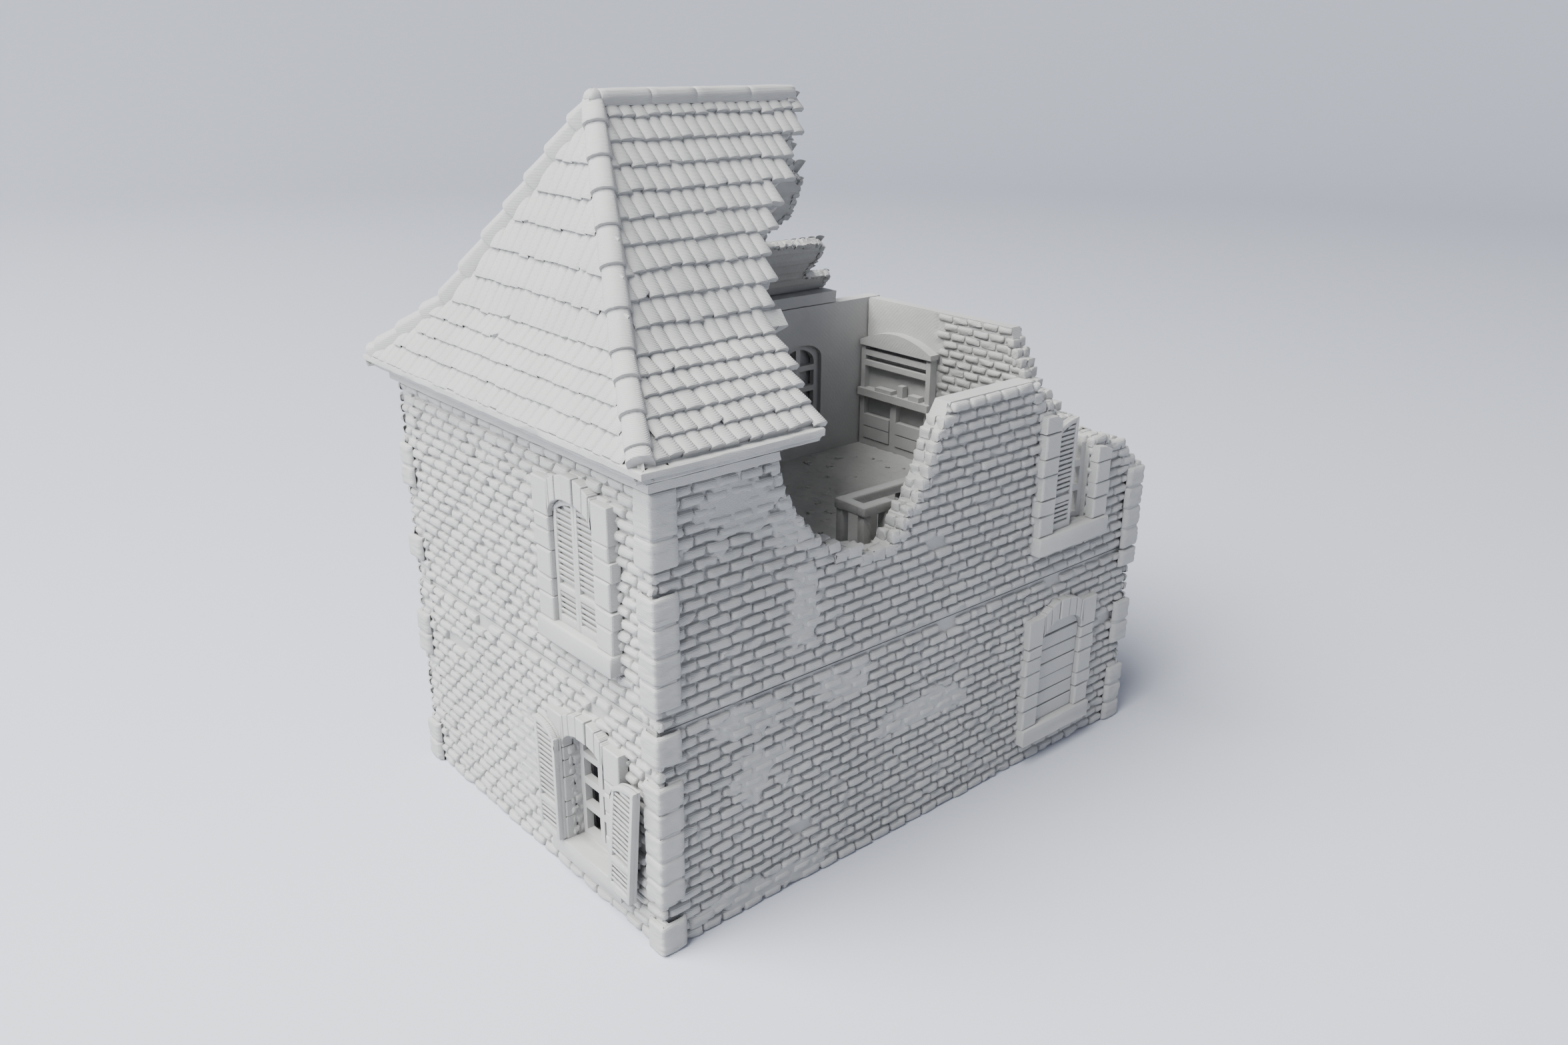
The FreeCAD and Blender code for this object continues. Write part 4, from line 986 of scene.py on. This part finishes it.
ALONG = np.linspace(-1, 1, 9)
CREST = np.cos(ALONG * math.pi / 2) ** 0.75


def tile_sheets(piece, place, tiles, crest, flip):
    """Barrel tiles; each is (centre, low share, high share, width, turn, lift, chip)."""
    t = np.array(tiles, float)
    n = len(t)
    steps = np.array([0, 0, 0.06, 0.35, 0.68, 1.0])
    lift = np.array([-1.3, 0.0, 0.12, -0.26, -0.66, -1.0])
    rows = steps[None, :, None]
    width = t[:, 3][:, None, None] * (1 - 0.05 * rows)
    bend = t[:, 4][:, None, None] * rows
    u = t[:, 0][:, None, None] + ALONG[None, None, :] * width / 2 + bend
    share = t[:, 1][:, None, None] + (t[:, 2] - t[:, 1])[:, None, None] * rows
    bite = t[:, 6][:, None, None] * np.clip(1 - np.abs(ALONG[None, None, :] - np.sign(t[:, 4])[:, None, None] * 0.8) * 1.2, 0, 1)
    share = share + bite * (rows < 0.1) + np.zeros((n, 6, 9))
    height = lift[None, :, None] + t[:, 5][:, None, None] + crest * CREST[None, None, :] * (steps[None, :, None] * 0 + 1)
    height = height - 0.15 * (np.abs(ALONG) > 0.99)[None, None, :]
    height[:, 0, :] = np.minimum(height[:, 0, :], -1.3)
    piece.sheets(place(u, share, height - 0.28), flip=flip)


def tiles_for(low_edge, high_edge, first, pitch, count, seed, wander=0.1):
    """Rows of barrel tiles between two edges given as functions of the share."""
    pick = np.random.default_rng(seed)
    tiles = []
    for i in range(count):
        t0 = first + pitch * i
        t1 = min(t0 + pitch + 0.012, 1.0)
        mid = (t0 + t1) / 2
        left, right = low_edge(mid), high_edge(mid)
        sway = pick.uniform(-0.25, 0.25)
        start = math.floor((left - 4) / TILE) * TILE + sway + (pick.uniform(-0.5, 0.5) if pick.random() < 0.4 else 0)
        x = start
        while x < right + TILE / 2:
            width = TILE * (1.38 if pick.random() < 0.035 else 1)
            centre = x + width / 2 + pick.normal(0, wander)
            if left + 0.4 < centre < right + 0.6:
                chip = pitch * pick.uniform(0.06, 0.2) if pick.random() < 0.06 else 0
                slip = pick.normal(0, 0.0022) + (pick.uniform(-0.008, 0.004) if pick.random() < 0.06 else 0)
                tiles.append((centre, t0 + slip, t1, width * 1.18, pick.normal(0, 0.12), pick.normal(0, 0.06), chip))
            x += width
    return tiles


def hip_low(t):
    return X_LEFT - EAVES_OUT + HIP_RUN * t


def shell(piece, place, low_edge, high_edge, thick, flip, ribs=False, seed=3, t1=1.0):
    """Body of a slope under its tiles, ragged along the broken edge."""
    t = np.linspace(0.0, t1, 110)
    pick = np.random.default_rng(seed)
    rag = pick.uniform(-0.7, 0.5, len(t)) if ribs else pick.uniform(-0.5, 0.3, len(t))
    low, high = low_edge(t), high_edge(t) + rag
    share = np.linspace(0, 1, 26)
    u = low[:, None] + (high - low)[:, None] * share[None, :]
    tt = np.repeat(t[:, None], 26, axis=1)
    top = place(u, tt, -1.35 + 0 * u)
    saw = ((tt / 0.0652) % 1.0) * 0.45 if ribs else 0 * tt
    under = place(u, tt, -thick + saw + 0.1 * lump(u / 2, tt * 40, 9))
    piece.sheets(top[None], flip=flip)
    piece.sheets(under[None], flip=not flip)
    rim = np.stack([top[:, -1], place(high + pick.uniform(-0.5, 0.4, len(t)), t, -2.6), under[:, -1]], axis=1)
    piece.sheets(rim[None], flip=flip)
    foot = np.stack([under[0], top[0]], axis=0)
    piece.sheets(foot[None], flip=flip)


def build_slopes():
    front, back, hip = slope("front"), slope("back"), slope("hip")
    front_edge = lambda t: edge_at(FRONT_EDGE, t)
    back_edge = lambda t: edge_at(BACK_EDGE, t)
    core = Piece()
    shell(core, front, hip_low, front_edge, 4.0, False, seed=3, t1=0.985)
    core.make("roof_front_shell", "roof", ("roof_front_slope",), smooth=35)
    core = Piece()
    shell(core, back, hip_low, back_edge, 4.0, True, ribs=True, seed=4, t1=0.985)
    core.make("roof_back_shell", "roof", ("roof_back_slope",), smooth=35)
    core = Piece()
    side_low = lambda t: -SIDE_RUN * (1 - t)
    side_high = lambda t: SIDE_RUN * (1 - t)
    t = np.linspace(0, 0.99, 60)
    share = np.linspace(0, 1, 30)
    u = side_low(t)[:, None] + (side_high(t) - side_low(t))[:, None] * share[None, :]
    tt = np.repeat(t[:, None], 30, axis=1)
    core.sheets(hip(u, tt, -1.3 + 0 * u)[None])
    core.sheets(hip(u, tt, -4.0 + 0 * u)[None], flip=True)
    core.make("roof_hip_shell", "roof", ("roof_hip_end",), smooth=35)

    tiles = tiles_for(lambda t: hip_low(t) + 1.7, front_edge, 0.028, 0.0652, 15, 21)
    piece = Piece()
    tile_sheets(piece, front, tiles, 0.66, False)
    piece.make("roof_front_tiles", "roof", smooth=60)
    tiles = tiles_for(lambda t: hip_low(t) + 1.7, back_edge, 0.028, 0.0652, 15, 22)
    piece = Piece()
    tile_sheets(piece, back, tiles, 0.66, True)
    piece.make("roof_back_tiles", "roof", smooth=60)
    tiles = tiles_for(lambda t: side_low(t) + 2.6, lambda t: side_high(t) - 2.9, 0.004, 0.0897, 11, 23, wander=0.08)
    piece = Piece()
    tile_sheets(piece, hip, tiles, 0.60, False)
    piece.make("roof_hip_tiles", "roof", smooth=60)


def build_back_rubble():
    """Broken lumps and batten ends along the ragged edge of the back slope."""
    back, pick = slope("back"), np.random.default_rng(91)
    boxes = []
    for (a, ta), (b, tb) in zip(BACK_EDGE, BACK_EDGE[1:]):
        steps = max(2, int(math.hypot(b - a, (tb - ta) * 90) / 1.7))
        for k in range(steps):
            u = X_LEFT + a + (b - a) * (k + 0.5) / steps - 0.5
            v = 90 * (ta + (tb - ta) * (k + 0.5) / steps)
            wide, tall = pick.uniform(0.9, 1.8), pick.uniform(0.8, 1.5)
            boxes.append((u - wide, u + wide * 0.4, v - tall, v + tall * 0.3, pick.uniform(-4.3, -3.8), pick.uniform(-1.9, -1.3)))
    piece = Piece()
    blocks(piece, lambda a, b, c: back(a, b / 90, c), boxes, radius=0.3, rough=0.16, flip=True)
    piece.make("roof_back_rubble", "roof", smooth=40)


def hip_line(sign, t):
    return np.stack([hip_low(t), sign * SIDE_RUN * (1 - t), rise(t)], axis=-1)


def hip_axes(sign, t, ahead):
    """Directions across a hip and out of it, evenly between its two slopes."""
    steep = 68.8 * (0.711 + (1.17 - 0.711) * np.clip((t - 0.345) / 0.05, 0, 1))
    end = np.stack([-steep, 0 * t, HIP_RUN + 0 * t], axis=-1)
    side = np.stack([0 * t, sign * steep, SIDE_RUN + 0 * t], axis=-1)
    up = end / np.linalg.norm(end, axis=1, keepdims=True) + side / np.linalg.norm(side, axis=1, keepdims=True)
    up /= np.linalg.norm(up, axis=1, keepdims=True)
    across = np.cross(ahead, up)
    return across / np.linalg.norm(across, axis=1, keepdims=True), up


def build_hips():
    """Half-round tiles up the two hips, each lapping over the one below."""
    drips = [0.040, 0.078, 0.18, 0.29, 0.376, 0.469, 0.571, 0.666, 0.753, 0.837, 0.925, 1.0]
    for sign, name in ((-1, "hip_tiles_front"), (1, "hip_tiles_back")):
        piece = Piece()
        for t0, t1 in zip(drips, drips[1:]):
            t1 = min(t1 + 0.012, 0.995)
            steps = np.array([0, 0, 0, 0.05, 0.35, 0.7, 1.0])
            t = t0 + (t1 - t0) * steps
            line = hip_line(sign, t)
            ahead = hip_line(sign, np.minimum(t + 0.01, 1.0)) - hip_line(sign, np.minimum(t + 0.01, 1.0) - 0.02)
            ahead /= np.linalg.norm(ahead, axis=1, keepdims=True)
            across, up = hip_axes(sign, t, ahead)
            turn = np.linspace(0, math.pi, 13)
            skirt = np.array([1.0] + [0.0] * 11 + [1.0])[None, :, None]
            wide = np.array([0.2, 2.75, 2.95, 3.0, 2.85, 2.7, 2.5])[:, None, None]
            tall = np.array([0.1, 1.0, 2.0, 2.1, 1.9, 1.7, 1.5])[:, None, None]
            lift = np.array([-1.6, -1.2, 0.1, 0.15, -0.05, -0.3, -0.55])[:, None, None] - 0.9
            bow = np.sin(turn)[None, :, None] ** 0.85
            grid = line[:, None, :] + across[:, None, :] * np.cos(turn)[None, :, None] * wide + up[:, None, :] * (bow * tall + lift - 2.9 * skirt)
            grid = grid + rng.normal(0, 0.03, grid.shape)
            piece.sheets(grid[None], flip=False)
        piece.make(name + "_worn", "roof", (name,), smooth=60)


def build_ridge():
    start = box_mm("ridge_capping")[0][0]
    end = box_mm("ridge_capping")[1][0]
    half = [(2.0, -2.8), (2.35, -1.5), (2.55, -0.9), (2.45, -0.2), (2.1, 0.25), (1.9, 0.6), (1.0, 0.95)]
    sec = np.array([(-y, RIDGE_Z + z) for y, z in half] + [(0, RIDGE_Z + 1.1)] + [(y, RIDGE_Z + z) for y, z in half[::-1]])
    piece = Piece()
    joints = [start, start + 14.2, start + 27.8, start + 45.0, end]
    for a, b in zip(joints, joints[1:]):
        xs = np.concatenate([[a, a, a + 0.25], np.arange(a + 2, b - 1, 2.2), [b - 0.2, b, b]])
        grow = np.ones(len(xs))
        grow[0] = grow[-1] = 0.6
        grow[1] = grow[-2] = 0.94
        rag = rng.uniform(-0.5, 0.4, len(sec)) * (b == end)
        grid = []
        for i, (x, g) in enumerate(zip(xs, grow)):
            y = sec[:, 0] * g
            z = RIDGE_Z - 4 + (sec[:, 1] - RIDGE_Z + 4) * g
            grid.append(np.stack([np.full(len(sec), x) + rag * (i >= len(xs) - 3), y, z], axis=-1))
        grid = np.stack(grid)
        worn = 0.12 * lump(grid[..., 0] / 2.5, grid[..., 1] / 1.5 + a, 61)
        grid[..., 2] += worn
        piece.sheets(grid[None], flip=True)
    piece.make("ridge_capping_worn", "roof", ("ridge_capping",), smooth=50)
    knob = Piece()
    turn, tip = np.meshgrid(np.linspace(0, 2 * math.pi, 25), np.linspace(-1.2, math.pi / 2, 12))
    low, high = box_mm("ridge_knob")
    middle, r = (low + high) / 2, (high[0] - low[0]) / 2 + 0.12 * lump(turn * 2, tip * 3, 62)
    grid = np.stack([middle[0] + r * np.cos(tip) * np.cos(turn), r * np.cos(tip) * np.sin(turn), middle[2] + r * np.sin(tip) * 0.9], axis=-1)
    knob.sheets(grid[None])
    knob.make("ridge_knob_worn", "roof", ("ridge_knob",), smooth=60)


def build_purlin():
    """Timber let into the front slope, its broken tip showing past the tiles."""
    low, high = box_mm("purlin")
    end = high[0]
    piece = Piece()
    blocks(piece, slope("front"), [(low[0], end - 3.2, 0.3755, 0.4145, -5.0, -1.15)], radius=0.004, rough=0)
    tip = [(end - 4, -5.0), (end - 1.4, -3.0), (end - 0.6, -1.8), (end - 1.2, -1.2), (end - 4, -1.15)]
    stone(piece, lambda a, b, c: slope("front")(a, b, c), tip, 0.3745, 0.4155, bevel=0.0, rough=0)
    piece.make("purlin_worn", "roof", ("purlin",), smooth=0)


# ---- inside -----------------------------------------------------------------------------
def build_guard():
    low, high = box_mm("guard_rail")
    wide = 3.4
    front_end = X_LEFT + 102.0
    rail = Piece()
    blocks(rail, upright, [(low[0], high[0], high[1] - wide, high[1], low[2], high[2]),
                           (low[0] + 0.02, low[0] + wide - 0.02, low[1] + 0.02, high[1] - 0.02, low[2] + 0.02, high[2] - 0.02),
                           (low[0], front_end, low[1], low[1] + wide, low[2], high[2])], radius=0.4, rough=0.07)
    rail.make("guard_rail_worn", "upper_storey", ("guard_rail",))
    posts = Piece()
    cx, cy = low[0] + wide / 2, (low[1] + wide / 2, high[1] - wide / 2)
    spots = [(cx, cy[0]), (front_end - 1.9, cy[0])] + [(cx + i * 11.78, cy[1]) for i in range(6)]
    blocks(posts, upright, [(x - 1.3, x + 1.3, y - 1.3, y + 1.3, FLOOR_TOP, low[2] + 0.1) for x, y in spots], radius=0.3, rough=0.06)
    posts.make("guard_posts_worn", "upper_storey", ("guard_posts",))


def build_floor():
    """Uneven floor with rubble lying on it; the CAD slab stays underneath."""
    piece = Piece()
    step = 0.9
    low, high = box_mm("upper_floor_slab")
    x, y = np.meshgrid(np.arange(low[0] + 0.2, high[0], step), np.arange(low[1] + 0.2, high[1], step))
    fade = np.minimum.reduce([np.clip((x - low[0]) / 2, 0, 1), np.clip((high[0] - x) / 2, 0, 1), np.clip((y - low[1]) / 2, 0, 1),
                              np.clip((high[1] - y) / 2, 0, 1)])
    well = (x > X_LEFT + 92.9) & (x < X_LEFT + 151) & (y < Y_FRONT + 37.2) & (y > Y_FRONT + 30.2)
    well |= (x > X_LEFT + 102) & (x < X_LEFT + 151) & (y < Y_FRONT + 37.2)
    height = 0.16 + 0.16 * lump(x / 6, y / 6, 71) + 0.12 * lump(x / 2, y / 2, 72) + 0.10 * lump(x * 0.9, y * 0.9, 73)
    height = np.where(height > 0.2, height * 1.4, height)
    z = FLOOR_TOP + np.maximum(height, 0.02) * (0.3 + 0.7 * fade)
    keep = ~(well[:-1, :-1] | well[1:, 1:] | well[1:, :-1] | well[:-1, 1:])
    piece.sheets(np.stack([x, y, z], axis=-1)[None], keep[None])
    boxes = []
    pick = np.random.default_rng(74)
    while len(boxes) < 130:
        bx, by = pick.uniform(low[0] + 3, high[0] - 6), pick.uniform(low[1] + 3, high[1] - 3)
        inside = X_LEFT + 89 < bx < X_LEFT + 156 and by < Y_FRONT + 41
        if inside:
            continue
        a, b, c = pick.uniform(0.4, 1.5), pick.uniform(0.4, 1.1), pick.uniform(0.25, 0.6)
        boxes.append((bx - a, bx + a, by - b, by + b, FLOOR_TOP, FLOOR_TOP + c))
    blocks(piece, upright, boxes, radius=0.2, rough=0.1)
    piece.make("upper_floor_rubble", "upper_storey", smooth=50)


def dress_node(name, bevel):
    """Finish for a CAD node that is shown as it is."""
    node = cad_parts[name]
    node.data.materials.clear()
    node.data.materials.append(PLASTIC)
    if bevel:
        mod = node.modifiers.new("edge", "BEVEL")
        mod.width = bevel * 0.001
        mod.segments = 2
        mod.limit_method = "ANGLE"
        mod.angle_limit = math.radians(40)


def dress_nodes():
    for name in ("ground_floor_slab", "upper_floor_slab", "ground_locating_lip", "roof_locating_lip"):
        dress_node(name, 0.15)
    for name in ("staircase", "stair_handrail", "stair_posts", "dresser_case", "dresser_clutter", "dresser_drawers",
                 "dresser_pediment", "dresser_shelves", "doorstep"):
        dress_node(name, 0.28)
    for name in ("ground_window_frame", "upper_window_frames"):
        dress_node(name, 0.2)


# ---- stage ---------------------------------------------------------------------------------
def stage_material():
    mat = bpy.data.materials.new("backdrop")
    mat.use_nodes = True
    nodes, link = mat.node_tree.nodes, mat.node_tree.links.new
    shader = nodes["Principled BSDF"]
    coords = nodes.new("ShaderNodeTexCoord")
    # Base colour fades from light near the model to darker far out and up the sweep wall: painted falloff of light
    # across the backdrop, on top of its bluish tint.
    far = nodes.new("ShaderNodeVectorMath")
    far.operation = "DISTANCE"
    far.inputs[1].default_value = (-0.15, -0.15, 0)
    link(coords.outputs["Object"], far.inputs[0])
    reach = nodes.new("ShaderNodeMapRange")
    reach.inputs["From Max"].default_value = 1.6
    link(far.outputs["Value"], reach.inputs["Value"])
    ramp = nodes.new("ShaderNodeValToRGB")
    ramp.color_ramp.interpolation = "B_SPLINE"
    ramp.color_ramp.elements[0].position = 0.05
    ramp.color_ramp.elements[0].color = (0.530, 0.552, 0.615, 1)
    ramp.color_ramp.elements[1].position = 1.0
    ramp.color_ramp.elements[1].color = (0.370, 0.389, 0.450, 1)
    middle = ramp.color_ramp.elements.new(0.35)
    middle.color = (0.375, 0.394, 0.452, 1)
    link(reach.outputs["Result"], ramp.inputs["Fac"])
    link(ramp.outputs["Color"], shader.inputs["Base Color"])
    grain = nodes.new("ShaderNodeTexNoise")
    grain.inputs["Scale"].default_value = 600
    link(coords.outputs["Object"], grain.inputs["Vector"])
    spread = nodes.new("ShaderNodeMapRange")
    spread.inputs["To Min"].default_value = 0.75
    spread.inputs["To Max"].default_value = 0.9
    link(grain.outputs["Fac"], spread.inputs["Value"])
    link(spread.outputs["Result"], shader.inputs["Roughness"])
    bump = nodes.new("ShaderNodeBump")
    bump.inputs["Strength"].default_value = 0.08
    bump.inputs["Distance"].default_value = 0.0002
    link(grain.outputs["Fac"], bump.inputs["Height"])
    link(bump.outputs["Normal"], shader.inputs["Normal"])
    return mat


def build_stage():
    """Round seamless sweep: flat floor curving up into a wall all the way round."""
    floor_radius, bend = 1.6, 0.9
    profile = [(floor_radius * k / 8, 0.0) for k in range(9)]
    for i in range(1, 13):
        a = math.pi / 2 * i / 12
        profile.append((floor_radius + bend * math.sin(a), bend * (1 - math.cos(a))))
    profile += [(floor_radius + bend, 1.5), (floor_radius + bend, 2.2)]
    turn = np.linspace(0, 2 * math.pi, 97)
    prof = np.array(profile)
    grid = np.stack([prof[:, 0][:, None] * np.cos(turn), prof[:, 0][:, None] * np.sin(turn), np.repeat(prof[:, 1][:, None], 97, axis=1)], axis=-1)
    n, m = grid.shape[:2]
    index = np.arange(n * m).reshape(n, m)
    quads = np.stack([index[:-1, :-1], index[1:, :-1], index[1:, 1:], index[:-1, 1:]], axis=-1).reshape(-1, 4)
    mesh = bpy.data.meshes.new("backdrop")
    mesh.from_pydata(grid.reshape(-1, 3).tolist(), [], quads.tolist())
    mesh.validate()
    mesh.shade_smooth()
    mesh.materials.append(stage_material())
    floor = bpy.data.objects.new("backdrop", mesh)
    floor.location.z = -0.0001
    bpy.context.scene.collection.objects.link(floor)


def area_light(name, place, target, size, power, colour):
    data = bpy.data.lights.new(name, "AREA")
    data.shape = "DISK"
    data.size = size
    data.energy = power
    data.color = colour
    lamp = bpy.data.objects.new(name, data)
    lamp.location = place
    lamp.rotation_mode = "QUATERNION"
    lamp.rotation_quaternion = (Vector(target) - Vector(place)).to_track_quat("-Z", "Y")
    bpy.context.scene.collection.objects.link(lamp)


def build_light():
    world = bpy.data.worlds.new("studio")
    world.use_nodes = True
    back = world.node_tree.nodes["Background"]
    back.inputs["Color"].default_value = (1.0, 0.99, 0.97, 1)
    back.inputs["Strength"].default_value = 0.19
    bpy.context.scene.world = world
    area_light("key", (-1.46, 0.29, 1.94), (0, 0, 0.05), 2.4, 262, (1.0, 0.995, 0.98))


def build_camera():
    data = bpy.data.cameras.new("camera")
    data.sensor_width = 36
    data.lens = 28.85
    data.clip_start, data.clip_end = 0.01, 20
    camera = bpy.data.objects.new("camera", data)
    bpy.context.scene.collection.objects.link(camera)
    turn, dip, roll = math.radians(-41.04), math.radians(21.03), math.radians(0.506)
    back = Vector((math.sin(turn) * math.cos(dip), -math.cos(turn) * math.cos(dip), math.sin(dip)))
    right = (-back).cross(Vector((0, 0, 1))).normalized()
    up = right.cross(-back)
    r = right * math.cos(roll) + up * math.sin(roll)
    u = up * math.cos(roll) - right * math.sin(roll)
    pose = Matrix((r, u, back)).transposed().to_4x4()
    pose.translation = Vector((-0.22770, -0.26298, 0.20604))
    camera.matrix_world = pose
    bpy.context.scene.camera = camera


def main():
    build_walls()
    build_inner_right()
    build_quoins()
    build_windows()
    build_boards()
    build_reveal()
    build_mouldings()
    build_slopes()
    build_back_rubble()
    build_hips()
    build_ridge()
    build_purlin()
    build_guard()
    build_floor()
    dress_nodes()
    build_stage()
    build_light()
    build_camera()


main()
